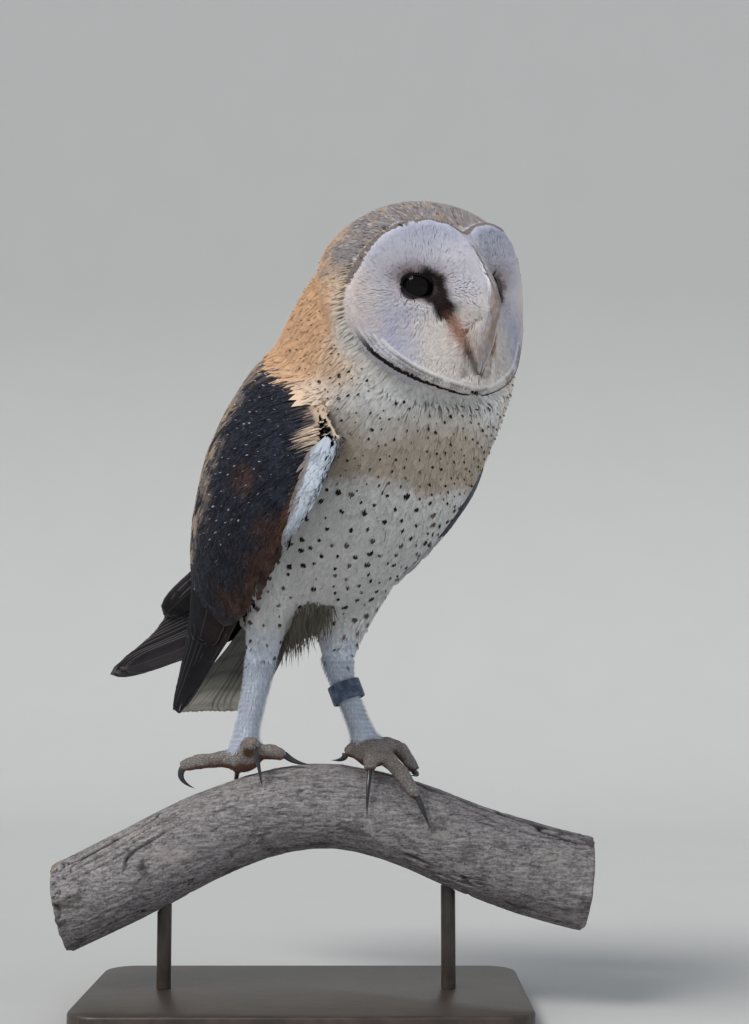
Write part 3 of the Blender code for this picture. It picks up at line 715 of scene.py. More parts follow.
def disc_colour(points):
    """The facial disc: bluish white, with painted cool shade in its bluish and lavender tints, painted warm
    light in the cream below, painted shadow above each eye, and dark to rusty from each eye to the bill.
    """
    spots = in_face(points)
    u, v = np.abs(spots[:, 0]), spots[:, 1]
    wander = cloud(points, 0.0035, 5) - 0.5
    reach = eye_reach(points)
    # painted cool shade: the lower outer disc is tinted lavender, as it looks in shadow
    cool_shade_low = step(0.016, 0.034, u + wander * 0.008) * step(0.006, -0.010, v)
    # painted warm light: the lower middle of the disc is cream, as it looks in warm light
    cream = step(0.006, -0.014, v) * fade(0.016, 0.035, u + wander * 0.008)
    outer = step(0.036, 0.046, u + wander * 0.008) * step(0.022, 0.010, v) * step(-0.020, -0.008, v)
    # painted shadow: the disc just above each eye is darker grey, where the feathers above shade it
    brow_shadow = fade(1.4, 3.4, reach) * step(0.008, 0.014, v)
    from_streak, down = near_line(u, v, (0.0134, -0.0060), (0.0068, -0.0246))
    inside = fade(0.0010, 0.0060, from_streak) * step(0.0125, 0.0095, u + 0.35 * (v + 0.006))
    band, line = ridge_marks(points)
    cool = step(0.45, 0.65, cloud(points, 0.0022, 18))
    tan = mixed(tone(0.40, 0.30, 0.255), tone(0.46, 0.43, 0.47), cool)
    smudge, _ = near_line(u, v, (0.0158, 0.0096), (0.0145, -0.0052))
    corner = fade(1.40, 2.00, reach + wander * 0.3) * step(0.001, -0.004, in_eye(points)[:, 0])
    black = np.maximum(fade(0.0020, 0.0048, smudge + wander * 0.0016), corner)
    rusty = layered(tone(0.075, 0.036, 0.028), (tone(0.30, 0.145, 0.100), step(0.0, 0.35, down)),
                    (tone(0.19, 0.105, 0.080), step(0.65, 1.0, down)))
    slit, _ = near_line(u, v, (0.0062, -0.0245), (0.0022, -0.0340))
    rim = step(0.86, 1.0, disc_part(points)) * step(-0.2, 0.6, -v / 0.045)
    return layered(FACE_WHITE * (0.92 + 0.16 * cloud(points, 0.006, 6))[:, None],
                   # painted cool shade: the upper disc is tinted blue, as it looks in shadow
                   (tone(0.48, 0.50, 0.63), step(0.016, 0.036, v + wander * 0.006) * 0.75),
                   (tone(0.44, 0.44, 0.575), cool_shade_low * 0.75),
                   (tone(0.72, 0.655, 0.60), cream * 0.85),
                   (tone(0.70, 0.60, 0.545), outer * 0.7),
                   (tone(0.33, 0.30, 0.345), brow_shadow * 0.55),
                   (tone(0.45, 0.34, 0.33), fade(1.1, 2.4, reach) * 0.45),
                   (tone(0.50, 0.375, 0.335), inside * 0.65),
                   (tan, band * (0.35 + 0.45 * step(0.020, -0.002, v))),
                   (SNOW * 1.15, line * 0.8),
                   (tone(0.10, 0.060, 0.052), fade(1.20, 1.55, reach + wander * 0.25) * 0.85),
                   (tone(0.016, 0.011, 0.010), black),
                   (rusty, fade(0.0006, 0.0029, from_streak + wander * 0.0018) * 0.9),
                   (tone(0.075, 0.042, 0.034), fade(0.0002, 0.0015, slit) * 0.8),
                   (WHITE, rim * 0.4))


def plumage(points, kind):
    """The plumage's colour at each point, for skin and coat alike; kind names the solid beneath."""
    points = np.asarray(points, float)
    kind = np.asarray(kind)
    _, angle, _ = along_body(points)
    u, v, d = in_face(points).T
    z = to_bird(points)[:, 2]
    wander = cloud(points, 0.015, 1) - 0.5
    mottle = cloud(points, 0.0045, 2) - 0.5
    height = z - 0.014 * np.minimum(angle, 1.0) + wander * 0.008
    breast = step(0.1325, 0.1410, height) * fade(0.156, 0.182, z + wander * 0.014)
    aside = np.abs(to_bird(points)[:, 0] + 0.001)
    # painted shadow: between the legs, the vent is darkened greyish brown, as it lies in shade
    vent_shadow = fade(0.074, 0.086, z + wander * 0.012) * fade(0.006, 0.017, aside + wander * 0.006)
    vent_shadow = vent_shadow * (kind == "trunk")
    golden = mixed(PALE_BUFF, BUFF, step(1.1, 1.9, angle + mottle * 0.5))
    forward = 0.30 * step(0.160, 0.175, z) * fade(0.200, 0.215, z)
    side = step(1.0, 1.6, angle + forward + wander * 0.5) * step(0.135, 0.165, z + wander * 0.02)
    mantle = step(1.9, 2.5, angle + mottle * 0.9) * fade(0.190, 0.225, z + wander * 0.03)
    nape = mixed(PALE_BUFF, BUFF, step(0.028, 0.060, -d + wander * 0.02))
    crown = step(0.020, 0.038, v + wander * 0.012 + 0.15 * np.abs(u))
    crown = crown * fade(0.034, 0.066, -d + mottle * 0.03)
    behind = rim_depth(np.arctan2(v, u)) - d
    cheek = fade(0.003, 0.020, behind + wander * 0.008) * fade(-0.002, 0.022, v + wander * 0.01)
    chin = fade(-0.040, -0.020, v + wander * 0.01) * fade(0.9, 1.6, angle + wander * 0.3)
    top = layered(nape, (mixed(ASH * 1.25, TAN, step(0.0, 0.6, mottle)), crown),
                  (WHITE * 1.02, cheek * 0.9), (WHITE, chin))
    wide, high, low, long = DOME
    dome = np.sqrt((u / wide) ** 2 + (v / np.where(v > 0, high, low)) ** 2 + ((d + 0.043) / long) ** 2)
    # partly painted shadow: the breast band is darker buff where the head shades it
    colour = layered(WHITE, (SHADED_BREAST, breast * 0.9),
                     # painted shadow: the vent between the legs is darkened greyish brown
                     (tone(0.15, 0.14, 0.11), vent_shadow * fade(1.2, 1.8, angle) * 0.8),
                     (golden, side),
                     (mixed(ASH, TAN, step(-0.15, 0.25, mottle)), mantle),
                     (top, fade(1.03, 1.42, dome)))
    limb = np.isin(kind, ("leg", "tarsus"))
    # painted cool shade: the feathered legs turn bluish low down, as they look in shade
    cool = SNOW * tone(0.86, 0.92, 1.03)
    pale = mixed(WHITE * 1.03, cool, fade(0.056, 0.078, z + mottle * 0.01))
    colour = np.where(limb[:, None], pale, colour)
    disc = (disc_part(points) < 1.02) & (kind == "head")
    if disc.any():
        colour[disc] = disc_colour(points[disc])
    wing = kind == "wing"
    if wing.any():
        colour[wing] = wing_plumage(points[wing])
    toes = kind == "foot"
    if toes.any():
        rust = step(0.40, 0.70, cloud(points, 0.006, 8))
        colour = np.where(toes[:, None], mixed(TOE_GREY, TOE_RUST, rust * 0.25), colour)
    return np.clip(colour * (1 + 0.10 * mottle)[:, None], 0, 1)


def wing_places(points):
    """Each point's share along and across its wing, and its depth under the wing's outer side."""
    aside = to_bird(points)[:, 0]
    found = np.zeros((3, len(points)))
    for side, chart in CHARTS.items():
        mine = aside * side > 0
        flat = chart.flat(points[mine])
        share, q = chart.shares(flat[:, 0], flat[:, 1])
        found[:, mine] = share, q, chart.read(chart.height, flat[:, 0], flat[:, 1]) - flat[:, 2]
    return found


def back_line(share):
    """How far across the wing its slate ends and the streaked upper part begins."""
    shares = (0, 0.08, 0.12, 0.16, 0.22, 0.30, 0.42)
    return np.interp(share, shares, (0.92, 0.74, 0.57, 0.46, 0.36, 0.28, 0.24))


def lining_edge(share):
    """How far across the wing the white strip along its front edge reaches."""
    return np.interp(share, (0.010, 0.022, 0.050, 0.095, 0.150), (0.105, 0.085, 0.045, 0.022, 0.0))


def in_lining(share, q):
    return (share > -0.02) & (share < 0.165) & (q < lining_edge(share))


def wing_plumage(points):
    """The closed wing: slate, tan and grey streaks towards the back, rust low down, white in front."""
    share, q, depth = wing_places(points)
    wander = cloud(points, 0.012, 30) - 0.5
    own = cloud(points, 0.0032, 31)
    back = step(-0.03, 0.13, q - back_line(share) + wander * 0.10) * fade(0.32, 0.50, share)
    flat = CHARTS[1].flat(points)
    streak = cloud(flat * (0.14, 1, 1), 0.0026, 33)[:, None]
    tawny = np.where(streak < 0.40, SOOT * 2.2, np.where(streak < 0.58, ASH * 0.8, TAN * 1.05))
    brown = fade(0.03, 0.12, q + wander * 0.10) * step(0.11, 0.19, share) * fade(0.42, 0.54, share)
    patch = fade(0.015, 0.050, np.hypot(share - 0.14, (q - 0.25) * 0.45) + wander * 0.03) * 0.55
    lining = step(0.0030, 0.0050, depth + wander * 0.002)
    lining = lining * step(0.08, 0.14, share) * fade(0.36, 0.42, share)
    rim = q - lining_edge(share)
    white = fade(-0.012, 0.006, rim + wander * 0.03) * step(-0.020, -0.012, share) * fade(0.15, 0.18, share)
    border = fade(0.004, 0.030, np.abs(rim - 0.02)) * step(0.03, 0.08, share) * fade(0.16, 0.20, share)
    snowy = SNOW * (0.90 - 0.25 * step(0.60, 0.80, cloud(flat * (0.12, 1, 1), 0.0020, 34)))[:, None]
    bend = fade(0.010, 0.026, share + wander * 0.01 - 0.018 * fade(0.20, 0.32, q))
    shoulder = np.maximum(fade(0.006, 0.030, share + wander * 0.02) * step(0.25, 0.45, q), bend)
    return layered(SLATE * (0.7 + 0.8 * own)[:, None], (tawny, back * 0.9),
                   (RUST * (0.30 + 0.5 * own)[:, None], np.maximum(brown * 0.7, patch)),
                   (RUST * 0.9, border * 0.7),
                   (snowy, np.maximum(lining * fade(0.30, 0.60, q), white)),
                   (mixed(PALE_BUFF * 0.80, BUFF, step(0.35, 0.8, q)), shoulder))


# ------------------------------------------------------------------ skin
def kinds_of(surface_points):
    """The name of the solid of flesh nearest to each point, without its side."""
    points, faces, owner = [], [], []
    total = 0
    for name in FLESH + WINGS:
        tris = triangles_of(NODES[name])
        points.append(points_of(NODES[name]))
        faces.append(tris + total)
        owner += [name.split("_")[0]] * len(tris)
        total += len(points[-1])
    tree = BVHTree.FromPolygons(np.concatenate(points).tolist(), np.concatenate(faces).tolist())
    return np.array(owner)[[tree.find_nearest(p)[2] for p in surface_points.tolist()]]


def swollen(piece, by):
    set_points(piece, points_of(piece) + normals_of(piece) * by)


def build_hull():
    """All the flesh as one closed skin-like shape that still has the solids' own outline."""
    pieces = []
    shoulder, tip = to_row(WING_LINE)
    way = unit(tip - shoulder)
    for node in FLESH + WINGS:
        piece = copied(node, "part_" + node)
        if node in WINGS:
            edited(piece, bpy.ops.mesh.bisect, plane_co=shoulder + way * WING_CUT, plane_no=way,
                   clear_outer=True, use_fill=True)
        swollen(piece, 0.0003)
        pieces.append(piece)
    hull = joined(pieces, "skin")
    modified(hull, "REMESH", mode="VOXEL", voxel_size=SKIN_VOXEL)
    modified(hull, "SMOOTH", factor=0.5, iterations=5)
    co = points_of(hull)
    kind = kinds_of(co)
    plain = np.isin(kind, ("head", "neck", "trunk", "leg", "tarsus"))
    plain &= (disc_part(co) > 1.10) | (kind != "head")
    part = evened(hull, plain.astype(float), 3)[:, None]
    co = co * (1 - part) + evened(hull, co, 16) * part
    set_points(hull, co)
    faced(hull)
    return hull


def ridge_depth(spots):
    """How far forward the ridge between the eyes, and over the bill, stands at each place on the face."""
    crest = np.interp(spots[:, 1], RIDGE_HEIGHTS, RIDGE_DEPTHS)
    return crest - (140 + 90 * step(-0.004, -0.014, spots[:, 1])) * spots[:, 0] ** 2


def fitted_to_eyes(points, inside, outside, ends):
    """Draws points of the face to set heights over the eyeballs, inside the lids' opening and round it."""
    side = np.where(in_face(points)[:, 0] < 0, -1.0, 1.0)
    away = in_eye(points)
    far = np.linalg.norm(away, axis=1)
    reach = eye_reach(points)
    near = fade(*ends, reach) * (disc_part(points) < 1.0) * (away[:, 2] > 0)
    goal = EYE_RADIUS + np.where(reach < ends[0], inside, outside)
    away = away * (1 + (goal - far) * near / far)[:, None]
    closed = away @ EYE_AXES.T + EYE_AT
    closed[:, 0] *= side
    return np.where((near > 0)[:, None], from_face(closed), points)


def faced(piece):
    """Rounds the ridge between the eyes, and closes the face round each eyeball."""
    co = points_of(piece)
    spots = in_face(co)
    front = disc_part(co) < 1.0
    u, v = np.abs(spots[:, 0]), spots[:, 1]
    full = ridge_depth(spots)
    raised = np.where(front & (u < 0.011), np.maximum(spots[:, 2], full), spots[:, 2])
    over = fade(0.0045, 0.0090, u) * step(-0.0375, -0.0345, v) * fade(0.006, 0.014, v) * front
    spots[:, 2] = raised + (np.minimum(raised, full + 0.0003) - raised) * over
    set_points(piece, from_face(spots))
    rounded = from_face(evened(piece, spots, 3))
    rounded = fitted_to_eyes(rounded, -0.0008, 0.0003, (1.05, 2.1))
    set_points(piece, np.where(front[:, None], rounded, co))


def build_snout():
    """The head with its bill, as one smooth shape that the feathers of the face lie on."""
    pieces = [copied(node, "part_" + node) for node in ("head", "bill_upper", "bill_lower")]
    for piece, by in zip(pieces, (0.0002, -0.0008, -0.0006)):
        swollen(piece, by)
    snout = joined(pieces, "snout")
    modified(snout, "REMESH", mode="VOXEL", voxel_size=SNOUT_VOXEL)
    modified(snout, "SMOOTH", factor=0.5, iterations=9)
    faced(snout)
    surface = Surface(snout)
    bpy.data.objects.remove(snout)
    return surface


def build_skin(hull):
    """The skin inside the coat, with finer toes, and sockets for the eyes."""
    foot = kinds_of(points_of(hull)) == "foot"
    only(hull)
    bpy.ops.object.mode_set(mode="EDIT")
    bpy.ops.mesh.select_all(action="DESELECT")
    bpy.ops.object.mode_set(mode="OBJECT")
    for face in hull.data.polygons:
        face.select = bool(foot[face.vertices[0]])
    bpy.ops.object.mode_set(mode="EDIT")
    bpy.ops.mesh.subdivide(number_cuts=1, smoothness=0.6)
    bpy.ops.object.mode_set(mode="OBJECT")
    edited(hull, bpy.ops.mesh.quads_convert_to_tris)
    co = points_of(hull)
    kind = kinds_of(co)
    depth = np.array([COAT_DEPTH[k] for k in kind])
    disc = (disc_part(co) < 1.0) & (kind == "head")
    depth[disc] = FACE_DEPTH
    depth = evened(hull, depth, 14)
    near_eye = (1 - step(1.2, 1.8, eye_reach(co))) * disc
    depth = depth * (1 - near_eye) + 0.0004 * near_eye
    normal = normals_of(hull)
    toes = kind == "foot"
    scute = np.where(toes, cloud(co, 0.0019, 3) - 0.35, 0) * 0.0004
    # where the flesh is too thin for the coat, the skin lies higher
    for _ in range(3):
        set_points(hull, co - normal * depth[:, None])
        over = ((normals_of(hull) * normal).sum(1) < 0.3) & (kind != "foot")
        depth = np.where(over, depth * 0.25, depth)
        depth = np.minimum(depth, evened(hull, depth, 4))
    co = co - normal * depth[:, None] + normal * scute[:, None]
    co = fitted_to_eyes(co, -0.0010, -0.0008, (1.6, 2.4))
    set_points(hull, co)
    colour = plumage(co, kind)
    colour[toes & (normals_of(hull)[:, 2] < -0.45)] = TOE_RUST
    painted(hull, evened(hull, colour, 1))
    weighted(hull, evened(hull, toes.astype(float), 2), "bare")
    return smoothed(hull)


def tube_faces(rings, around):
    """The faces between rings of points that follow each other."""
    faces = []
    for ring in range(rings - 1):
        for k in range(around):
            a, b = ring * around + k, ring * around + (k + 1) % around
            faces.append((a, b, b + around, a + around))
    return faces


def build_lid(side):
    """The rim of the eye: an almond opening in a dark shell, paler where it runs out under the skin."""
    turn = np.arange(LID_POINTS) * 2 * math.pi / LID_POINTS
    reach = (np.abs(np.cos(turn)) / LID_WIDTH) ** LID_POWER
    reach = reach + (np.abs(np.sin(turn)) / LID_HEIGHT) ** LID_POWER
    opening = np.arcsin(np.clip(reach ** (-1 / LID_POWER) / EYE_RADIUS, 0, 0.999))
    angle = turn + LID_SLANT
    rows = []
    for beyond, proud in LID_RINGS:
        polar = opening + beyond
        ray = np.stack((np.sin(polar) * np.cos(angle), np.sin(polar) * np.sin(angle), np.cos(polar)), 1)
        rows.append(ray * (EYE_RADIUS + proud))
    spots = (np.concatenate(rows) @ EYE_AXES.T + EYE_AT) * (side, 1, 1)
    piece = built("lid", from_face(spots), tube_faces(len(rows), LID_POINTS))
    outward = FACE_AXES @ (EYE_OUT * (side, 1, 1))
    if np.dot(normals_of(piece)[3 * LID_POINTS], outward) < 0:
        piece.data.flip_normals()
    ring = np.repeat(np.arange(len(rows)), LID_POINTS)
    inner = step(0.2, -0.5, np.cos(np.tile(turn, len(rows))))
    pale = step(3.0, 5.5, ring) * (1 - inner)
    painted(piece, mixed(tone(0.008, 0.007, 0.007), tone(0.34, 0.27, 0.27), pale))
    weighted(piece, np.zeros(len(ring)), "bare")
    return smoothed(piece)


# ------------------------------------------------------------------ feathers
def tuft_faces(rows):
    """The faces of a closed tuft: left, middle and right points in each row, and one at the tip."""
    faces = [(0, 2, 1)]
    for i in range(rows - 2):
        a, b = 3 * i, 3 * i + 3
        faces += [(a, a + 1, b + 1, b), (a + 1, a + 2, b + 2, b + 1), (a, b, b + 2, a + 2)]
    a, tip = 3 * rows - 6, 3 * rows - 3
    return faces + [(a, a + 1, tip), (a + 1, a + 2, tip), (a, tip, a + 2)]


def sheet_faces(rows, columns):
    """The faces of a closed thin vane: a grid above, the same grid below, and the edge between them."""
    faces = []
    count = rows * columns
    for i in range(rows - 1):
        for j in range(columns - 1):
            a, b = i * columns + j, (i + 1) * columns + j
            faces.append((a, a + 1, b + 1, b))
            faces.append((a + count, b + count, b + count + 1, a + count + 1))
    rim = [*range(columns), *range(2 * columns - 1, count, columns)]
    rim += [*range(count - 2, count - columns - 1, -1), *range(count - 2 * columns, 0, -columns)]
    for a, b in zip(rim, rim[1:] + rim[:1]):
        faces.append((b, a, a + count, b + count))
    return faces


def assemble(name, co, faces, vane, tint, cells, cell_size, normals=None, spot=None):
    """Joined meshes of many like feathers: the arrays hold one row of points for each feather."""
    count, points = co.shape[:2]
    corners = np.concatenate([np.array(f) for f in faces])
    starts = np.concatenate([[0], np.cumsum([len(f) for f in faces])[:-1]])
    most = MOST_TRIANGLES // sum(len(f) - 2 for f in faces)
    spread = (vane[..., :2] - (0, 0.5)) * (0.5, 1.0)
    uv = np.clip(cells[:, None] + spread * cell_size, 0.0005, 0.9995)
    pieces = []
    for first in range(0, count, most):
        part = slice(first, min(first + most, count))
        here = part.stop - first
        mesh = bpy.data.meshes.new(f"{name}_{len(pieces) + 1}")
        mesh.vertices.add(here * points)
        mesh.loops.add(here * len(corners))
        mesh.polygons.add(here * len(faces))
        mesh.vertices.foreach_set("co", co[part].astype(np.float32).ravel())
        each = np.arange(here)[:, None]
        index = (each * points + corners).ravel()
        mesh.loops.foreach_set("vertex_index", index.astype(np.int32))
        mesh.polygons.foreach_set("loop_start", (each * len(corners) + starts).ravel().astype(np.int32))
        mesh.update(calc_edges=True)
        piece = added(mesh.name, mesh)
        layer = mesh.uv_layers.new(name="OFBake")
        layer.uv.foreach_set("vector", uv[part].reshape(-1, 2)[index].astype(np.float32).ravel())
        painted(piece, tint[part].reshape(-1, 3))
        lay = mesh.attributes.new("vane", "FLOAT_VECTOR", "POINT")
        lay.data.foreach_set("vector", vane[part].astype(np.float32).ravel())
        if spot is not None:
            weighted(piece, np.repeat(spot[part], points), "spot")
        mesh.polygons.foreach_set("use_smooth", np.ones(here * len(faces), bool))
        if normals is not None:
            mesh.normals_split_custom_set_from_vertices(normals[part].reshape(-1, 3))
        pieces.append(piece)
    return pieces


def lock_shape(v):
    return (0.35 + 0.65 * np.sin(np.minimum(v / 0.45, 1) * math.pi / 2)) * (1 - v ** 2.2) + 0.03


def vane_shape(v):
    tip = np.sqrt(np.maximum(1 - np.maximum(v - 0.5, 0) ** 2 * 4, 0))
    return (0.30 + 0.70 * np.sin(np.minimum(v / 0.6, 1) * math.pi / 2)) * tip + 0.04


def hair_shape(v):
    return 1.0 - 0.85 * v


TIP_SHAPES = {"lock": lock_shape, "vane": vane_shape, "hair": hair_shape}


def unwrapped(points, kind):
    """Where each root lies on an unwrap of the skin's own shape, from 0 to 1 both ways."""
    aside = to_bird(points)[:, 0]
    if kind == "face":
        spots = in_face(points)[:, :2]
    elif kind == "wing":
        share, q, _ = wing_places(points)
        spots = np.stack((share, q + 1.2 * (aside > 0)), 1)
    elif kind in ("leg", "tarsus"):
        bird = to_bird(points)
        centre = np.where(aside < 0, -0.027, 0.025)
        turn = np.arctan2(bird[:, 1], aside - centre)
        spots = np.stack((turn + np.where(aside < 0, 0, 6.6), bird[:, 2] * 20), 1)
    elif kind == "head":
        u, v, d = in_face(points).T
        spots = np.stack((np.arctan2(u, -d - 0.04), np.arctan2(v, np.hypot(u, d + 0.04))), 1)
    else:
        _, angle, _ = along_body(points)
        bird = to_bird(points)
        spots = np.stack((angle * np.sign(aside), bird[:, 1] * 0.75 - bird[:, 2] * 0.65), 1)
    low, high = spots.min(0), spots.max(0)
    return 0.004 + 0.992 * (spots - low) / np.maximum(high - low, 1e-9)


def flow(points, kind):
    """The way the feathers lie at each point: backwards, down the limbs, and along the wings."""
    _, angle, way = along_body(points)
    bird = to_bird(points)
    out = np.sign(bird[:, 0]) * 0.10 * np.sin(np.clip(angle, 0, math.pi))
    ways = np.stack((out, way[:, 0], way[:, 1]), 1) @ TO_ROW.T
    head = kind == "head"
    if np.any(head):
        spots = in_face(points)
        back = -FACE_AXES[:, 2] * 0.9
        low = step(0.02, -0.03, spots[:, 1])[:, None]
        ways = np.where(head[:, None], unit(ways * (0.55 + 0.6 * low) + back * (1 - 0.75 * low)), ways)
    for side, name in ((-1, "right"), (1, "left")):
        here = bird[:, 0] * side > 0
        for limb in ("leg", "tarsus"):
            ways = np.where((here & (kind == limb))[:, None], LIMB_WAY[f"{limb}_{name}"], ways)
        ways = np.where((here & (kind == "wing"))[:, None], CHARTS[side].axes[0], ways)
    return unit(ways)


def limb_way(node):
    """The way down a limb, from the middle of its top to the middle of its foot."""
    co = points_of(NODES[node])
    low, high = np.quantile(co[:, 2], (0.15, 0.85))
    return unit(co[co[:, 2] < low].mean(0) - co[co[:, 2] > high].mean(0))


LIMB_WAY = {node: limb_way(node) for node in ("leg_right", "leg_left", "tarsus_right", "tarsus_left")}


def laid(surface, roots, normals, ways, lengths, rows):
    """Mid-lines that follow the surface from their roots, and the surface's normal along them."""
    first = level(ways, normals)
    middle, normal_1, _ = surface.nearest(roots + first * lengths[:, None] * 0.5)
    second = level(first, normal_1)
    end, normal_2, _ = surface.nearest(middle + second * lengths[:, None] * 0.5)
    v = np.linspace(0, 1, rows)[None, :, None]
    line = (roots[:, None] * (1 - v) * (1 - 2 * v) + middle[:, None] * 4 * v * (1 - v)
            + end[:, None] * v * (2 * v - 1))
    up = np.where(v < 0.5, normals[:, None] * (1 - 2 * v) + normal_1[:, None] * 2 * v,
                  normal_1[:, None] * (2 - 2 * v) + normal_2[:, None] * (2 * v - 1))
    return line, unit(up)


def laid_on_wing(roots, normals, ways, lengths, rows):
    """Mid-lines that run on over a wing's own curve from their roots."""
    v = np.linspace(0, 1, rows)
    line = np.zeros((len(roots), rows, 3))
    aside = to_bird(roots)[:, 0]
    for side, chart in CHARTS.items():
        mine = aside * side > 0
        flat = chart.flat(roots[mine])
        run = (ways[mine] @ chart.axes.T)[:, None, :2] * (lengths[mine][:, None] * v[None])[..., None]
        x, y = flat[:, None, 0] + run[..., 0], flat[:, None, 1] + run[..., 1]
        over = chart.at(x, y, 0 * x)
        line[mine] = over + (roots[mine] - over[:, 0])[:, None]
    return line, np.repeat(normals[:, None], rows, 1)


def tufts(name, line, up, half, colours, unwrap, shape, ridge, low, high, lift, seed, round_side):
    """Closed tufts along mid-lines. They rise from low to high, and lift bends their tips out."""
    count, rows = line.shape[:2]
    random = np.random.default_rng(seed)
    v = np.linspace(0, 1, rows)
    width = half[:, None] * TIP_SHAPES[shape](v)[None]
    way = unit(np.gradient(line, axis=1))
    side = unit(np.cross(way, up))
    low, high = np.broadcast_to(low, count), np.broadcast_to(high, count)
    rise = low[:, None] + (high - low)[:, None] * (1 - (1 - v) ** 2)[None] + lift * v[None] ** 3
    middle = line + up * rise[..., None]
    sweep = (random.random(count) - 0.5)[:, None] * half[:, None] * 1.6 * v[None] ** 2
    middle = middle + side * sweep[..., None]
    top = middle + up * (width * ridge)[..., None]
    co = np.stack((middle - side * width[..., None], top, middle + side * width[..., None]), 2)
    normals = np.stack((unit(up - side * round_side), up, unit(up + side * round_side)), 2)
    vane = np.zeros((count, rows, 3, 3))
    vane[..., 0] = (-1, 0, 1)
    vane[..., 1] = v[None, :, None]
    vane[..., 2] = random.random(count)[:, None, None]
    if colours.ndim == 2:
        colours = np.repeat(colours[:, None], rows, 1)
    tint = np.repeat(colours[:, :, None], 3, 2)
    kept = np.array([*range(3 * rows - 3), 3 * rows - 2])
    parts = (co, vane, tint, normals)
    co, vane, tint, normals = (part.reshape(count, rows * 3, 3)[:, kept] for part in parts)
    return assemble(name, co, tuft_faces(rows), vane, tint, unwrap, TUFT_PATCH, normals)


def varied(colours, spread, seed):
    random = np.random.default_rng(seed)
    return np.clip(colours * (1 + spread * (random.random(len(colours)) - 0.5) * 2)[:, None], 0, 1)


def spaced(points, apart, limit=4000):
    """The points that keep at least that far from those before them."""
    kept = []
    for index in range(min(len(points), limit)):
        if not kept or (((points[kept] - points[index]) ** 2).sum(1) >= apart[index] ** 2).all():
            kept.append(index)
    return np.array(kept)


# ------------------------------------------------------------------ the coat of head, body and legs
# name, solids, spacing, length, half width, rows, shape, height of the tips below the outline
COATS = (
    ("body_vanes", ("neck", "trunk"), 0.0040, 0.0150, 0.0027, 4, "vane", 0.0007),
    ("body_locks", ("neck", "trunk"), 0.00160, 0.0105, 0.00058, 3, "lock", 0.0002),
    ("head_vanes", ("head",), 0.0027, 0.0085, 0.0016, 4, "vane", 0.0006),
    ("head_locks", ("head",), 0.00122, 0.0062, 0.00041, 3, "lock", 0.0002),
    ("leg_vanes", ("leg",), 0.0030, 0.0090, 0.0017, 4, "vane", 0.0006),
    ("leg_locks", ("leg",), 0.00135, 0.0070, 0.00046, 3, "lock", 0.0002),
    ("tarsus_down", ("tarsus",), 0.00084, 0.0027, 0.00024, 3, "hair", -0.0004),
    ("wing_vanes", ("wing",), 0.0040, 0.0150, 0.0024, 4, "vane", 0.0006),
    ("wing_locks", ("wing",), 0.00180, 0.0095, 0.00060, 3, "lock", 0.0001),
)


def depth_in_wing(outer, kind):
    """How deep each face of the surface lies under the outer side of its wing; 0 off the wings."""
    depth = np.zeros(len(kind))
    depth[kind == "wing"] = wing_places(outer.middle[kind == "wing"])[2]
    return depth


def coat_body(outer, kind, disc):
    """Underlying vanes and finer locks over all the flesh except the face, the toes and the white strips."""
    pieces = []
    depth_in = depth_in_wing(outer, kind)
    for number, (name, solids, spacing, length, half, rows, shape, under) in enumerate(COATS):
        faces = np.flatnonzero(np.isin(kind, solids) & (disc > 1.03) & (depth_in < 0.010))
        roots, normals, chosen = outer.scattered(faces, spacing, 20 + number)
        random = np.random.default_rng(40 + number)
        count = len(roots)
        own_kind = kind[chosen]
        ways = strayed(flow(roots, own_kind), random, 0.20)
        lengths = length * (0.8 + 0.4 * random.random(count))
        z = to_bird(roots)[:, 2]
        shortened = 0.55 + 0.45 * step(0.056, 0.082, z)
        lengths = np.where(own_kind == "leg", lengths * shortened, lengths)
        if name.startswith("wing"):
            line, up = laid_on_wing(roots, normals, ways, lengths, rows)
            share, q, _ = wing_places(line[:, -1])
            clear = 0.05 if name == "wing_vanes" else 0.0
            kept = ~((share < 0.19) & (q < lining_edge(share) + clear))
            roots, line, up, own_kind, z = (part[kept] for part in (roots, line, up, own_kind, z))
            count = len(roots)
        else:
            line, up = laid(outer, roots, normals, ways, lengths, rows)
        depth = np.array([COAT_DEPTH[k] for k in own_kind])
        spread = 0.30 if name.startswith("wing") else 0.16 if name.startswith("tarsus") else 0.06
        colours = varied(plumage(line[:, rows // 2], own_kind), spread, 60 + number)
        if name.startswith("tarsus"):
            rings = np.sin(z * 2 * math.pi / 0.0024 + cloud(roots, 0.008, 9) * 6)
            colours = colours * (1 + 0.22 * rings)[:, None]
        if name.startswith(("head", "body")):
            colours = speckled(colours, line[:, -1], own_kind, random)
        half_widths = half * (0.75 + 0.5 * random.random(count))
        lift = 0.0006 if name.startswith("tarsus") else 0.0002
        ridge = 0.14 if shape == "vane" else 0.35
        pieces += tufts(name, line, up, half_widths, np.clip(colours, 0, 1), unwrapped(roots, solids[0]),
                        shape, ridge, -depth - 0.0004, -under + 0.0004 * random.random(count), lift,
                        80 + number, 0.22)
    return pieces


def speckled(colours, tips, own_kind, random):
    """Grey upper parts with single dark and pale flecks, as fine peppering."""
    _, v, d = in_face(tips).T
    _, angle, _ = along_body(tips)
    z = to_bird(tips)[:, 2]
    grey = np.where(own_kind == "head", step(0.026, 0.040, v) * fade(0.040, 0.066, -d),
                    step(2.0, 2.5, angle) * fade(0.19, 0.225, z))
    pick = random.random(len(colours))
    colours = mixed(colours, tone(0.060, 0.048, 0.044), (pick < 0.16) * grey * 0.7)
    return mixed(colours, tone(0.47, 0.44, 0.43), (pick > 0.86) * grey * 0.6)


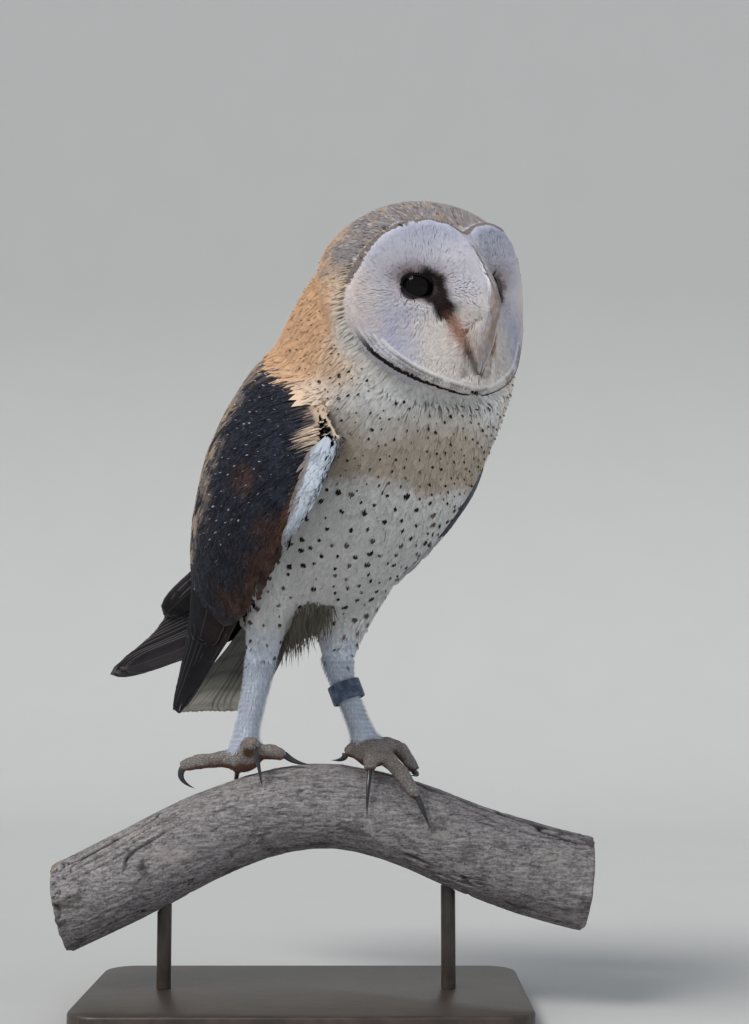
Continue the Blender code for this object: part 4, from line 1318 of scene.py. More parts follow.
def coat_face(snout):
    """The facial disc: fine filaments that spread from each eye to the rim, and down over the bill."""
    disc = disc_part(snout.middle)
    tip = in_face(snout.middle)
    bill_tip = (tip[:, 1] < -0.0315) & (np.abs(tip[:, 0]) < 0.0026) & (tip[:, 2] > 0.0030)
    faces = np.flatnonzero((disc < 1.0) & (eye_reach(snout.middle) > 1.12) & ~bill_tip)
    roots, normals, _ = snout.scattered(faces, FILAMENT_SPACING, 5)
    random = np.random.default_rng(6)
    count = len(roots)
    spots = in_face(roots)
    side = np.where(spots[:, 0] < 0, -1.0, 1.0)
    u, v = np.abs(spots[:, 0]), spots[:, 1]
    from_eye = np.stack((u - 0.0230, v - 0.0090), 1)
    reach = np.linalg.norm(from_eye, axis=1)
    from_bill = np.stack((u - 0.003, v + 0.020), 1)
    near = np.linalg.norm(from_bill, axis=1)
    below = step(0.012, -0.012, v)[:, None]
    spread = from_eye / reach[:, None] ** 2 + 0.55 * from_bill / near[:, None] ** 2 * below
    down = np.stack((0.20 + 0 * u, -1 + 0 * u), 1)
    ridge = fade(0.0035, 0.0065, u) * fade(0.028, 0.036, v)
    beak = fade(0.0050, 0.0095, u) * step(-0.004, -0.014, v)
    ridge = np.maximum(ridge, beak)
    spread = mixed(unit(spread), down, ridge)
    ways = unit(np.stack((spread[:, 0] * side, spread[:, 1], 0 * u), 1) @ FACE_AXES.T)
    ways = strayed(ways, random, 0.12)
    length = np.interp(reach, (0.008, 0.012, 0.022, 0.05), (0.0030, 0.0046, 0.0070, 0.0066))
    length = length * (0.85 + 0.3 * random.random(count)) * (1 - 0.30 * ridge)
    line, up = laid(snout, roots, normals, ways, length, 3)
    colours = varied(disc_colour(line[:, 1]), 0.035, 7)
    wide = 0.00031 * (0.8 + 0.5 * random.random(count)) * (1 + 0.15 * ridge)
    low = -FACE_DEPTH + 0.0001 + 0.0010 * (1 - step(1.3, 2.2, eye_reach(roots)))
    return tufts("face_filaments", line, up, wide, colours, unwrapped(roots, "face"), "lock", 0.32,
                 low, 0.0001 * random.random(count), 0.0001, 8, 0.12)


def rim_line(angles, part):
    """Points at a share of the rim's radius."""
    reach = rim_radius(angles) * part
    depth = rim_depth(angles) * part ** 2
    return from_face(np.stack((np.cos(angles) * reach, np.sin(angles) * reach, depth), 1))


# share of the radius, first and last angle, spacing, length, half width, look, height
RUFF_ROWS = ((0.895, -158, -22, 0.00062, 0.0044, 0.00060, "row", 0.0004),
             (0.928, -162, -18, 0.00062, 0.0044, 0.00060, "row", 0.0003),
             (0.959, -166, -14, 0.00062, 0.0042, 0.00060, "row", 0.0002),
             (0.989, -169, -11, 0.00062, 0.0040, 0.00060, "row", 0.0002),
             (1.010, -171, -9, 0.00055, 0.0038, 0.00085, "black", 0.0006),
             (1.026, -168, -12, 0.00060, 0.0034, 0.00085, "black", 0.0003),
             (0.960, -12, 192, 0.00085, 0.0052, 0.00050, "soft", -0.0003),
             (0.995, 158, 194, 0.00085, 0.0048, 0.00050, "soft", -0.0001),
             (1.014, 22, 166, 0.00060, 0.0048, 0.00050, "brown", 0.0004),
             (1.036, 22, 166, 0.00060, 0.0050, 0.00050, "brown", 0.0003),
             (1.062, 22, 164, 0.00070, 0.0052, 0.00055, "crown", 0.0002))


def coat_rim(outer):
    """The ruff: white rows with dark edges and a black line below, soft sides, and brown rows above."""
    pieces = []
    random = np.random.default_rng(11)
    dark = tone(0.045, 0.030, 0.025)
    for number, (part, first, last, apart, length, half, look, height) in enumerate(RUFF_ROWS):
        turn = np.radians(np.linspace(first, last, int(abs(last - first) / 360 * 0.29 / apart)))
        turn = turn + (random.random(len(turn)) - 0.5) * 0.012
        count = len(turn)
        bumps = 0.016 * np.sin(turn * 11) * (look in ("brown", "crown", "soft"))
        loose = 0.005 if look in ("row", "black") else 0.018
        on_rim = rim_line(turn, part + bumps + (random.random(count) - 0.5) * loose)
        roots, normals, _ = outer.nearest(on_rim)
        outward = np.stack((np.cos(turn), np.sin(turn), -0.35 + 0 * turn), 1) @ FACE_AXES.T
        outward = strayed(outward, random, 0.15)
        lengths = length * (0.85 + 0.3 * random.random(count))
        if look in ("row", "black"):
            shorter = 0.5 + 0.5 * step(-0.10, -0.40, np.sin(turn))
            lengths = length * (0.94 + 0.12 * random.random(count)) * shorter
        line, up = laid(outer, roots - outward * lengths[:, None] * 0.45, normals, outward, lengths, 5)
        below = step(-0.10, -0.45, np.sin(turn))
        shade = cloud(on_rim, 0.004, 13)
        face = disc_colour(rim_line(turn, 0.90))
        colours = np.repeat(varied(mixed(face, WHITE, 0.55), 0.05, 12 + number)[:, None], 5, 1)
        if look == "row":
            edge = np.array((0, 0, 0.02, 0.60, 1.0))[None] * (0.30 + 0.70 * step(0.30, 0.6, shade))[:, None]
            colours = mixed(colours, tone(0.060, 0.042, 0.038), edge * below[:, None] * 0.95)
        elif look == "black":
            colours = mixed(colours, dark * 0.35, (0.10 + 0.90 * below)[:, None] + 0 * colours[..., 0])
        elif look == "soft":
            colours = np.repeat(varied(disc_colour(rim_line(turn, 0.93)), 0.06, 12 + number)[:, None], 5, 1)
        else:
            pick = random.random(count)
            brown = tone(0.175, 0.125, 0.095)
            own = mixed(brown, ASH * 0.9, pick) if look == "brown" else mixed(ASH, TAN, pick)
            upper_left = (np.cos(turn) < -0.45) & (np.sin(turn) > 0.40)
            own[upper_left & (pick > 0.94)] = WHITE * 0.7
            own[upper_left & (pick < 0.12)] = dark
            colours = np.repeat(own[:, None], 5, 1)
        ridge = 0.05 if look in ("row", "black") else 0.14
        pieces += tufts(f"ruff_{number + 1}", line, up, half * (0.85 + 0.3 * random.random(count)), colours,
                        unwrapped(roots, "face"), "vane", ridge, -0.0009, height, 0.0001, 30 + number, 0.15)
    return pieces


def coat_bristles(snout):
    """Stiff bristles that lie over the bill from the ridge."""
    random = np.random.default_rng(14)
    count = BRISTLES
    side = np.where(random.random(count) < 0.5, -1.0, 1.0)
    v = -0.030 + 0.040 * random.random(count)
    u = 0.0002 + (0.0046 + 0.003 * step(-0.01, 0.004, v)) * random.random(count)
    start = from_face(np.stack((u * side, v, 0.026 + 0 * u), 1))
    roots, normals, _ = snout.nearest(start)
    ways = np.stack((0.10 * side, -1 + 0 * u, 0.10 + 0 * u), 1) @ FACE_AXES.T
    ways = strayed(ways, random, 0.20)
    line, up = laid(snout, roots, normals, ways, 0.0055 + 0.003 * random.random(count), 4)
    brown = tone(0.30, 0.225, 0.185)
    colours = varied(mixed(disc_colour(line[:, 2]), brown, random.random(count) * 0.6), 0.2, 15)
    return tufts("bill_bristles", line, up, np.full(count, 0.00020), colours, unwrapped(roots, "face"),
                 "hair", 0.5, -0.0010, 0.0001 + 0.0003 * random.random(count), 0.0002, 16, 0.3)


# name, solids, distance apart, length, half width, colour
SPOTS = (("belly_spots", ("trunk", "leg", "tarsus"), 0.0098, 0.0044, 0.00104, DARK_SPOT),
         ("breast_spots", ("neck", "trunk"), 0.0064, 0.0021, 0.00052, DARK_SPOT * 1.6),
         ("nape_spots", ("neck", "head"), 0.0062, 0.0011, 0.00028, tone(0.15, 0.085, 0.055)),
         ("wing_spots", ("wing",), 0.0078, 0.0015, 0.00028, tone(0.40, 0.41, 0.46)))


def spotted(name, roots, own_kind):
    """Whether spots of one sort may lie at each root."""
    _, angle, _ = along_body(roots)
    z = to_bird(roots)[:, 2]
    if name == "belly_spots":
        belly = (angle < 1.95) & (z < 0.136 + 0.008 * angle) & (z > 0.063)
        return belly | (np.isin(own_kind, ("leg", "tarsus")) & (z > 0.054))
    if name == "breast_spots":
        return (angle < 1.75) & (z > 0.134 + 0.008 * angle) & (z < 0.178 + 0.016 * (angle > 0.8))
    if name == "nape_spots":
        face = in_face(roots)
        golden = (angle > 1.0) & (own_kind == "neck") & (z > 0.16)
        return golden | ((own_kind == "head") & (face[:, 1] < 0.03) & (face[:, 2] < -0.055))
    share, q, _ = wing_places(roots)
    return (share > 0.03) & (share < 0.36) & (q > 0.15) & (q < back_line(share) + 0.1)


def coat_spots(outer, kind, disc):
    """Drop-shaped feather tips: dark on breast, belly and thighs, tiny on the nape, white on the wing."""
    pieces = []
    depth_in = depth_in_wing(outer, kind)
    for number, (name, solids, apart, length, half, colour) in enumerate(SPOTS):
        faces = np.flatnonzero(np.isin(kind, solids) & (disc > 1.15) & (depth_in < 0.0016))
        roots, normals, chosen = outer.scattered(faces, apart * 0.4, 50 + number)
        random = np.random.default_rng(51 + number)
        order = random.permutation(len(roots))
        roots, normals, own_kind = roots[order], normals[order], kind[chosen[order]]
        there = spotted(name, roots, own_kind)
        roots, normals, own_kind = roots[there], normals[there], own_kind[there]
        near = spaced(roots, apart * (0.55 + 0.80 * random.random(len(roots))))
        roots, normals, own_kind = roots[near], normals[near], own_kind[near]
        count = len(roots)
        size = 0.50 + 0.75 * random.random(count)
        narrow = 0.55 + 0.65 * random.random(count)
        ways = level(flow(roots, own_kind), normals)
        across = np.cross(ways, normals)
        barbs = 5
        offset = np.linspace(-1, 1, barbs)
        spread = (offset * half * 1.15)[None, :, None] * (size * narrow)[:, None, None] * across[:, None]
        back = (np.abs(offset) * length * 0.28)[None, :, None] * size[:, None, None] * ways[:, None]
        many = (roots[:, None] + spread + back).reshape(-1, 3)
        fan = unit(ways[:, None] - across[:, None] * offset[None, :, None] * 0.22).reshape(-1, 3)
        ragged = (1 - 0.35 * np.abs(offset))[None] * (0.85 + 0.3 * random.random((count, barbs)))
        lengths = (length * size[:, None] * ragged).ravel()
        line, up = laid(outer, many, np.repeat(normals, barbs, 0), fan, lengths, 3)
        few = (random.random(count) > 0.82) * (name != "wing_spots")
        faint = 1 + 3.5 * np.isin(own_kind, ("leg", "tarsus")) + 4 * few
        colours = np.tile(colour, (len(many), 1)) * np.repeat(faint, barbs)[:, None]
        colours = varied(np.clip(colours, 0, 1), 0.25, 52 + number)
        pieces += tufts(name, line, up, half * 0.62 * np.repeat(size * narrow, barbs), colours,
                        unwrapped(many, "body"), "lock", 0.3, -0.0012, 0.0006, 0.0001, 53 + number, 0.45)
    return pieces


def coat_lining(outer, kind):
    """The narrow pale feathers that lie along the front edge of each wing, darkened on the left wing as
    painted shade.
    """
    wing = np.flatnonzero(kind == "wing")
    share, q, depth = wing_places(outer.middle[wing])
    faces = wing[in_lining(share, q) & (depth < 0.009)]
    roots, normals, _ = outer.scattered(faces, 0.0013, 95)
    random = np.random.default_rng(96)
    count = len(roots)
    ways = strayed(flow(roots, np.full(count, "wing")), random, 0.10)
    lengths = 0.0130 * (0.8 + 0.4 * random.random(count))
    line, up = laid(outer, roots, normals, ways, lengths, 5)
    grey = step(0.55, 0.75, cloud(CHARTS[1].flat(roots) * (0.10, 1, 1), 0.0016, 97))
    share, q, _ = wing_places(line[:, 2])
    colours = SNOW * (0.76, 0.83, 0.91) * (1 - 0.35 * grey)[:, None]
    edge = step(-0.010, 0.014, q - lining_edge(share))
    colours = mixed(colours, RUST * 0.9, edge * 0.75)
    # painted shade: the left wing's strip is darkened to a fifth, as it lies in shadow
    colours[to_bird(roots)[:, 0] > 0] *= 0.20
    half = 0.0010 * (0.8 + 0.4 * random.random(count))
    return tufts("lining_vanes", line, up, half, varied(colours, 0.05, 98), unwrapped(roots, "wing"),
                 "vane", 0.08, -0.0016, 0.0006, 0.0, 99, 0.12)


def coat_shaded_vent(outer, kind):
    """Loose plumes that hang between the legs, dark olive-brown as painted shade for the shadowed gap there.
    """
    place = to_bird(outer.middle)
    faces = np.flatnonzero((kind == "trunk") & (place[:, 2] < 0.088) & (np.abs(place[:, 0] + 0.008) < 0.008)
                           & (np.abs(place[:, 1] + 0.004) < 0.030))
    roots, normals, _ = outer.scattered(faces, 0.0016, 90)
    random = np.random.default_rng(91)
    count = len(roots)
    way = unit(np.array((0, 0.15, -1.0)) @ TO_ROW.T + (random.random((count, 3)) - 0.5) * (0.5, 0.5, 0.3))
    length = 0.007 + 0.011 * random.random(count) ** 1.6
    v = np.linspace(0, 1, 5)[None, :, None]
    bend = (random.random((count, 1, 3)) - 0.5) * 0.006 * v ** 2
    line = roots[:, None] + way[:, None] * length[:, None, None] * v + bend
    up = np.repeat(normals[:, None], 5, 1)
    # painted shade: the plumes are dark, and darker to their tips, where the gap between the legs lies in
    # shadow
    colours = varied(np.tile(tone(0.20, 0.19, 0.15), (count, 1)), 0.35, 92)
    colours = mixed(np.repeat(colours[:, None], 5, 1), tone(0.11, 0.10, 0.08), v[..., 0] + 0 * line[..., 0])
    return tufts("shaded_vent_plumes", line, up, 0.0005 * (0.6 + 0.6 * random.random(count)), colours,
                 unwrapped(roots, "body"), "hair", 0.4, -0.0020, 0.0001, 0.0, 93, 0.3)


# ------------------------------------------------------------------ wings and tail
class Chart:
    """A flat map over one side of a wing or the tail: x runs to its tip, y across it, and h out of it."""

    def __init__(self, node, facing):
        co = points_of(NODES[node])
        self.centre = co.mean(0)
        axes = np.linalg.svd(co - self.centre, full_matrices=False)[2]
        along = axes[0] * np.sign((axes[0] @ TO_ROW)[1])
        out = axes[2] * np.sign(axes[2] @ facing)
        rise = np.cross(along, out)
        self.hand = 1.0 if node == "tail" or rise[2] > 0 else -1.0
        self.axes = np.array((along, rise * self.hand, out))
        flat = (co - self.centre) @ self.axes.T
        self.low, self.high = flat.min(0), flat.max(0)
        self.length = self.high[0] - self.low[0]
        self.cell = 0.002
        self.xs = np.arange(self.low[0] - 0.006, self.high[0] + 0.006, self.cell)
        self.ys = np.arange(self.low[1] - 0.006, self.high[1] + 0.006, self.cell)
        mesh = NODES[node].data
        tree = BVHTree.FromPolygons(co.tolist(), [p.vertices[:] for p in mesh.polygons])
        height = np.full((len(self.xs), len(self.ys)), np.nan)
        for i, x in enumerate(self.xs):
            for j, y in enumerate(self.ys):
                start = self.centre + np.array((x, y, self.high[2] + 0.02)) @ self.axes
                hit = tree.ray_cast(start.tolist(), (-out).tolist())
                if hit[0] is not None:
                    height[i, j] = self.high[2] + 0.02 - hit[3]
        there = ~np.isnan(height)
        inner = np.flatnonzero(there.any(1))
        self.edges = np.array([self.ys[np.flatnonzero(there[i])[[0, -1]]] for i in inner])
        self.edges = np.stack([np.interp(self.xs, self.xs[inner], self.edges[:, k]) for k in (0, 1)], 1)
        for k in (0, 1):
            padded = np.pad(self.edges[:, k], 3, mode="edge")
            self.edges[:, k] = np.convolve(padded, np.ones(7) / 7, mode="valid")
        for i in inner:
            height[i] = np.interp(self.ys, self.ys[there[i]], height[i][there[i]])
        for j in range(len(self.ys)):
            height[:, j] = np.interp(self.xs, self.xs[inner], height[inner, j])
        for _ in range(6):
            padded = np.pad(height, 1, mode="edge")
            height = (padded[:-2, 1:-1] + padded[2:, 1:-1]
                      + padded[1:-1, :-2] + padded[1:-1, 2:] + 2 * height) / 6
        self.height = height
        self.slopes = [np.clip(np.gradient(height, self.cell, axis=k), -1.2, 1.2) for k in (0, 1)]

    def flat(self, points):
        return (points - self.centre) @ self.axes.T

    def read(self, grid, x, y):
        i = np.clip((x - self.xs[0]) / self.cell, 0, len(self.xs) - 1.001)
        j = np.clip((y - self.ys[0]) / self.cell, 0, len(self.ys) - 1.001)
        a, b = i.astype(int), j.astype(int)
        p, q = i - a, j - b
        return (grid[a, b] * (1 - p) * (1 - q) + grid[a + 1, b] * p * (1 - q)
                + grid[a, b + 1] * (1 - p) * q + grid[a + 1, b + 1] * p * q)

    def at(self, x, y, h):
        """Points in the row frame, h above the mapped side."""
        out = np.stack([-self.read(slope, x, y) for slope in self.slopes] + [np.ones_like(x)], -1)
        flat = np.stack((x, y, self.read(self.height, x, y)), -1) + unit(out) * h[..., None]
        return self.centre + flat @ self.axes

    def spot(self, share, q):
        """Map coordinates from a share of the length and a share of the way across."""
        x = self.low[0] + np.asarray(share, float) * self.length
        low, high = self.edges_at(x)
        return np.stack((x, low + (high - low) * np.asarray(q, float)), -1)

    def edges_at(self, x):
        return [np.interp(x, self.xs, edge) for edge in self.edges.T]

    def shares(self, x, y):
        low, high = self.edges_at(x)
        return (x - self.low[0]) / self.length, (y - low) / np.maximum(high - low, 1e-6)


def vane_outline(v, blunt):
    """Half width along a vane: narrow at the quill, full past the middle, round at the tip."""
    root = 0.35 + 0.65 * np.sin(np.minimum(v / 0.45, 1) * math.pi / 2)
    tip = np.sqrt(np.clip(1 - (np.maximum(v - (1 - blunt), 0) / blunt) ** 2.2, 0, 1))
    return root * tip + 0.02


def sheets(name, chart, roots, tips, half, rows, columns, layer, colour, spot, tilt, blunt, ragged, seed,
           arch=0.0004, bow=0.0, sink=0.0016, under=None):
    """Closed thin vanes on a chart, from roots to tips; colour is a function of places on it."""
    random = np.random.default_rng(seed)
    count = len(roots)
    line = tips - roots
    length = np.linalg.norm(line, axis=1)
    way = line / length[:, None]
    aside = np.stack((-way[:, 1], way[:, 0]), 1)
    v = 1 - (1 - np.linspace(0, 1, rows)) ** 1.25
    u = np.sign(np.linspace(-1, 1, columns)) * np.abs(np.linspace(-1, 1, columns)) ** 0.9
    half = np.broadcast_to(half, count)
    width = half[:, None] * vane_outline(v, blunt)[None]
    bend = 4 * np.broadcast_to(bow, count)[:, None] * (v * (1 - v))[None]
    fray = 1 - ragged * random.random((count, columns)) * (np.abs(u) * 0.6 + 0.4)[None]
    along = length[:, None, None] * (v[None, :, None] * (1 - (1 - fray[:, None]) * v[None, :, None] ** 4))
    across = u[None, None] * width[..., None] + bend[..., None]
    x = roots[:, None, None, 0] + way[:, None, None, 0] * along + aside[:, None, None, 0] * across
    y = roots[:, None, None, 1] + way[:, None, None, 1] * along + aside[:, None, None, 1] * across
    layer = np.broadcast_to(layer, count)[:, None, None]
    base = layer - sink * (1 - v[None, :, None]) ** 2
    base = base + tilt * u[None, None] + arch * (1 - u[None, None] ** 2) * (1 - 0.6 * v[None, :, None] ** 4)
    wall = VANE_WALL * (1 - 0.65 * np.abs(u))[None, None] * (1 - 0.5 * v[None, :, None])
    top = chart.at(x, y, base + wall / 2)
    bottom = chart.at(x, y, base - wall / 2)
    if chart.hand < 0:
        top, bottom = top[:, :, ::-1], bottom[:, :, ::-1]
        x, y = x[:, :, ::-1], y[:, :, ::-1]
    co = np.stack((top, bottom), 1).reshape(count, 2 * rows * columns, 3)
    own = random.random(count)
    vane = np.zeros((count, 2, rows, columns, 3))
    vane[..., 0] = u
    vane[..., 1] = v[:, None]
    vane[..., 2] = own[:, None, None, None]
    share, q = chart.shares(x, y)
    upper = colour(share, q, v[None, :, None] + 0 * x, own[:, None, None] + 0 * x)
    lower = upper * 0.7 if under is None else np.broadcast_to(under, upper.shape)
    tint = np.stack((upper, lower), 1).reshape(count, 2 * rows * columns, 3)
    side = math.ceil(math.sqrt(count))
    cells = np.stack(((np.arange(count) % side + 0.5) / side, (np.arange(count) // side + 0.5) / side), 1)
    vane = vane.reshape(count, 2 * rows * columns, 3)
    spread = vane[..., :2] - (0, 0.5)
    halves = np.repeat((-1, 1), rows * columns)
    spread = np.stack((spread[..., 0] * 0.22 + halves * 0.25, spread[..., 1] * 0.92), -1)
    return assemble(name, co, sheet_faces(rows, columns), vane, np.clip(tint, 0, 1), cells, spread / side,
                    spot=spot)


def wing_colour(share, q, v, own):
    """The larger coverts: slate, rusty towards the lower edge, tan and grey towards the back."""
    wander = np.sin(own * 40) * 0.10
    colour = np.broadcast_to(SLATE, (*share.shape, 3)) * (0.7 + 0.5 * own)[..., None]
    rust = fade(0.02, 0.20, q + wander) * step(0.12, 0.28, share)
    colour = mixed(colour, RUST * (0.30 + 0.5 * own[..., None]), rust * 0.5)
    upper = step(0.80, 1.0, q + wander) * fade(0.40, 0.60, share)
    return mixed(colour, mixed(ASH * 0.45, TAN * 0.6, own), upper * 0.6)


def scapular_colour(share, q, v, own):
    """Long feathers between the back and the wing: tan, grey or nearly black."""
    own = own[..., None]
    colour = np.where(own < 0.36, SOOT * 2.2, np.where(own < 0.62, ASH * 0.75, TAN * 0.95))
    return colour * (0.65 + 0.5 * v[..., None])


def flight_colour(share, q, v, own):
    colour = np.broadcast_to(SOOT * (0.85, 0.95, 1.15), (*share.shape, 3)) * (0.5 + 0.8 * own)[..., None]
    brown = fade(0.02, 0.20, q) * fade(0.55, 0.70, share) * (0.1 + 0.25 * own)
    return mixed(colour, RUST * 0.45, brown)


# share of the wing's length at the tips, length, half width, height
COVERT_ROWS = ((0.575, 0.052, 0.0066, -0.0014),
               (0.520, 0.044, 0.0060, -0.0011),
               (0.475, 0.038, 0.0054, -0.0009),
               (0.440, 0.034, 0.0048, -0.0008))


def coat_wing(chart, name, seed):
    """One folded wing: primaries lowest, then secondaries, large coverts and the scapulars."""
    random = np.random.default_rng(seed)
    k = np.linspace(0, 1, 10)
    tips = chart.spot(np.interp(k, (0, 0.2, 1), (0.965, 0.995, 0.835)), 0.30 + 0.45 * k)
    roots = chart.spot(0.26 + 0.06 * k, 0.12 + 0.45 * k)
    flight = sheets(f"{name}_primaries", chart, roots, tips, np.interp(k, (0, 1), (0.0080, 0.0100)), 26, 7,
                    -0.0028 + 0.0016 * k, flight_colour, np.full(10, 0.30), 0.0005, 0.16, 0.02, seed,
                    arch=0.0006, bow=-0.003, under=SOOT * 2.2)
    k = np.linspace(0, 1, 12)
    tips = chart.spot(0.655 + 0.15 * k ** 0.8, 0.10 + 0.84 * k)
    roots = chart.spot(0.24 + 0.12 * k, 0.18 + 0.70 * k)
    flight += sheets(f"{name}_secondaries", chart, roots, tips, 0.0085, 20, 7, -0.0016 + 0.0004 * k,
                     flight_colour, np.full(12, 0.40), 0.0005, 0.14, 0.02, seed + 1,
                     arch=0.0006, under=SOOT * 2.2)
    coverts = []
    for number, (share, length, half, height) in enumerate(COVERT_ROWS):
        across = 13 + number
        q = (np.arange(across) + 0.5 + 0.5 * (number % 2)) / (across + 0.5)
        tip_share = share - 0.030 * (1 - q) + (random.random(across) - 0.5) * 0.014
        tips = chart.spot(tip_share, q + (random.random(across) - 0.5) * 0.03)
        roots = chart.spot(tip_share - length / chart.length, q * 0.94 + 0.05)
        spots = (random.random(across) < 0.35) * (0.5 + 0.4 * random.random(across))
        coverts += sheets(f"{name}_coverts_{number + 1}", chart, roots, tips, half, 12, 7, height,
                          wing_colour, spots, 0.0003, 0.42, 0.12, seed + 2 + number,
                          arch=0.0005, sink=0.0022)
    across = 64
    share = np.linspace(0.15, 0.46, across)
    q = np.minimum(back_line(share - 0.05) + 0.06 + 0.42 * random.random(across), 0.97)
    tips = chart.spot(share + 0.03 * random.random(across), q)
    roots = chart.spot(share - 0.085, np.minimum(q + 0.05, 0.98))
    coverts += sheets(f"{name}_scapulars", chart, roots, tips, 0.0034, 12, 5, 0.0002, scapular_colour,
                      np.zeros(across), 0.0004, 0.5, 0.25, seed + 40, arch=0.0005, sink=0.0024)
    return joined_pieces(flight, f"{name}_flight"), joined_pieces(coverts, f"{name}_covert_feathers")


def joined_pieces(pieces, name):
    """Feathers of one kind as one piece, each row of them in its own strip of the map."""
    side = math.ceil(math.sqrt(len(pieces)))
    for number, piece in enumerate(pieces):
        layer = piece.data.uv_layers["OFBake"]
        uv = np.empty(len(piece.data.loops) * 2, np.float32)
        layer.uv.foreach_get("vector", uv)
        uv = (uv.reshape(-1, 2) * 0.99 + 0.005 + (number % side, number // side)) / side
        layer.uv.foreach_set("vector", uv.astype(np.float32).ravel())
    return joined(pieces, name)


def coat_tail(chart):
    """Twelve tail feathers, the middle pair on top, with their undersides dark near the root as painted shade
    under the body, and paler towards the tip.
    """
    k = np.linspace(-1, 1, 12)
    order = np.abs(k)
    tips = chart.spot(0.985 - 0.05 * order ** 2, 0.5 + 0.40 * k)
    roots = chart.spot(0.0 * k, 0.5 + 0.25 * k)
    along = np.linspace(0, 1, 22)
    # painted shade: the undersides are dark at the root, where the body shades them, and pale towards the tip
    below = mixed(tone(0.13, 0.13, 0.115), WHITE * tone(0.92, 0.89, 0.78), step(0.45, 0.9, along))

    def colour(share, q, v, own):
        base = np.broadcast_to(mixed(ASH * 0.5, TAN * 0.7, 0.3), (*share.shape, 3))
        return base * (0.7 + 0.5 * own)[..., None]

    return sheets("tail_feathers", chart, roots, tips, 0.0082, 22, 7, 0.0004 - 0.0016 * order, colour,
                  np.full(12, 0.35), 0.0002, 0.14, 0.015, 71, sink=0.0, under=below[:, None])


# ------------------------------------------------------------------ eyes, horn, ring, branch, stand
def build_eye(name, side):
    """An eyeball with the clear front's bulge."""
    centre = from_face((side * EYE_AT[0], EYE_AT[1], EYE_AT[2]))
    bpy.ops.object.select_all(action="DESELECT")
    bpy.ops.mesh.primitive_uv_sphere_add(segments=48, ring_count=32, radius=EYE_RADIUS, location=(0, 0, 0))
    piece = bpy.context.view_layer.objects.active
    piece.name = name
    co = points_of(piece)
    bulge = np.clip(co[:, 2] / EYE_RADIUS, 0, 1) ** 3
    co = co * (1 + 0.035 * bulge)[:, None]
    axis = FACE_AXES @ (EYE_OUT * (side, 1, 1))
    turn = np.array(Vector((0, 0, 1)).rotation_difference(Vector(axis)).to_matrix(), float)
    set_points(piece, co @ turn.T + centre)
    return smoothed(piece)


def refined(node, name, bevel=0.0):
    """A solid's own shape: flowing, or with rounded edges where it gets a bevel."""
    piece = copied(node, name)
    if bevel:
        sharp = math.radians(40)
        modified(piece, "BEVEL", width=bevel, segments=3, limit_method="ANGLE", angle_limit=sharp)
        bpy.ops.object.shade_smooth_by_angle(angle=sharp)
    else:
        modified(piece, "WELD", merge_threshold=0.00001)
        modified(piece, "SUBSURF", levels=2)
        smoothed(piece)
    return piece


def build_claw(node, name):
    """A claw as one smooth curved spike, from inside the toe's end to the solid's own tip."""
    co = points_of(NODES[node])
    toes = points_of(NODES[node.replace("claw", "foot").rsplit("_", 1)[0]])
    gap = np.linalg.norm(co[:, None] - toes[None], axis=2).min(1)
    base = co[gap <= np.quantile(gap, 0.15)].mean(0)
    far = np.linalg.norm(co - base, axis=1)
    tip = co[far.argmax()]
    length = far.max()
    middle = co[np.abs(far - length / 2) < length * 0.15].mean(0)
    straight = (base + tip) / 2
    bend = straight + (middle - straight) * 2.8
    base = base + (base - bend) * 0.20
    t = 1 - (1 - np.linspace(0, 1, CLAW_ROWS)[:, None]) ** 1.2
    line = base * (1 - t) ** 2 + bend * 2 * t * (1 - t) + tip * t ** 2
    way = unit(np.gradient(line, axis=0))
    across = unit(np.cross(way, np.cross(tip - base, bend - base) + (0, 0, 1e-9)))
    aside = np.cross(way, across)
    reach = CLAW_RADIUS * np.clip(1 - t ** 1.5, 0.03, 1)
    turn = np.arange(CLAW_SIDES) * 2 * math.pi / CLAW_SIDES
    ring = (across[:, None] * np.cos(turn)[:, None] * 1.05 + aside[:, None] * np.sin(turn)[:, None] * 0.80)
    points = (line[:, None] + ring * reach[:, None]).reshape(-1, 3)
    faces = [tuple(range(CLAW_SIDES)), tuple(range(len(points) - 1, len(points) - CLAW_SIDES - 1, -1))]
    piece = built(name, points, faces + tube_faces(CLAW_ROWS, CLAW_SIDES))
    edited(piece, bpy.ops.mesh.normals_make_consistent, inside=False)
    return smoothed(piece)


def tucked(piece):
    """Sinks the bill under the feathers of the ridge, all but its hooked tip."""
    spots = in_face(points_of(piece))
    deep = 0.0010 * step(-0.0340, -0.0300, spots[:, 1])
    spots[:, 2] = np.minimum(spots[:, 2], ridge_depth(spots) - deep)
    set_points(piece, from_face(spots))
    return piece


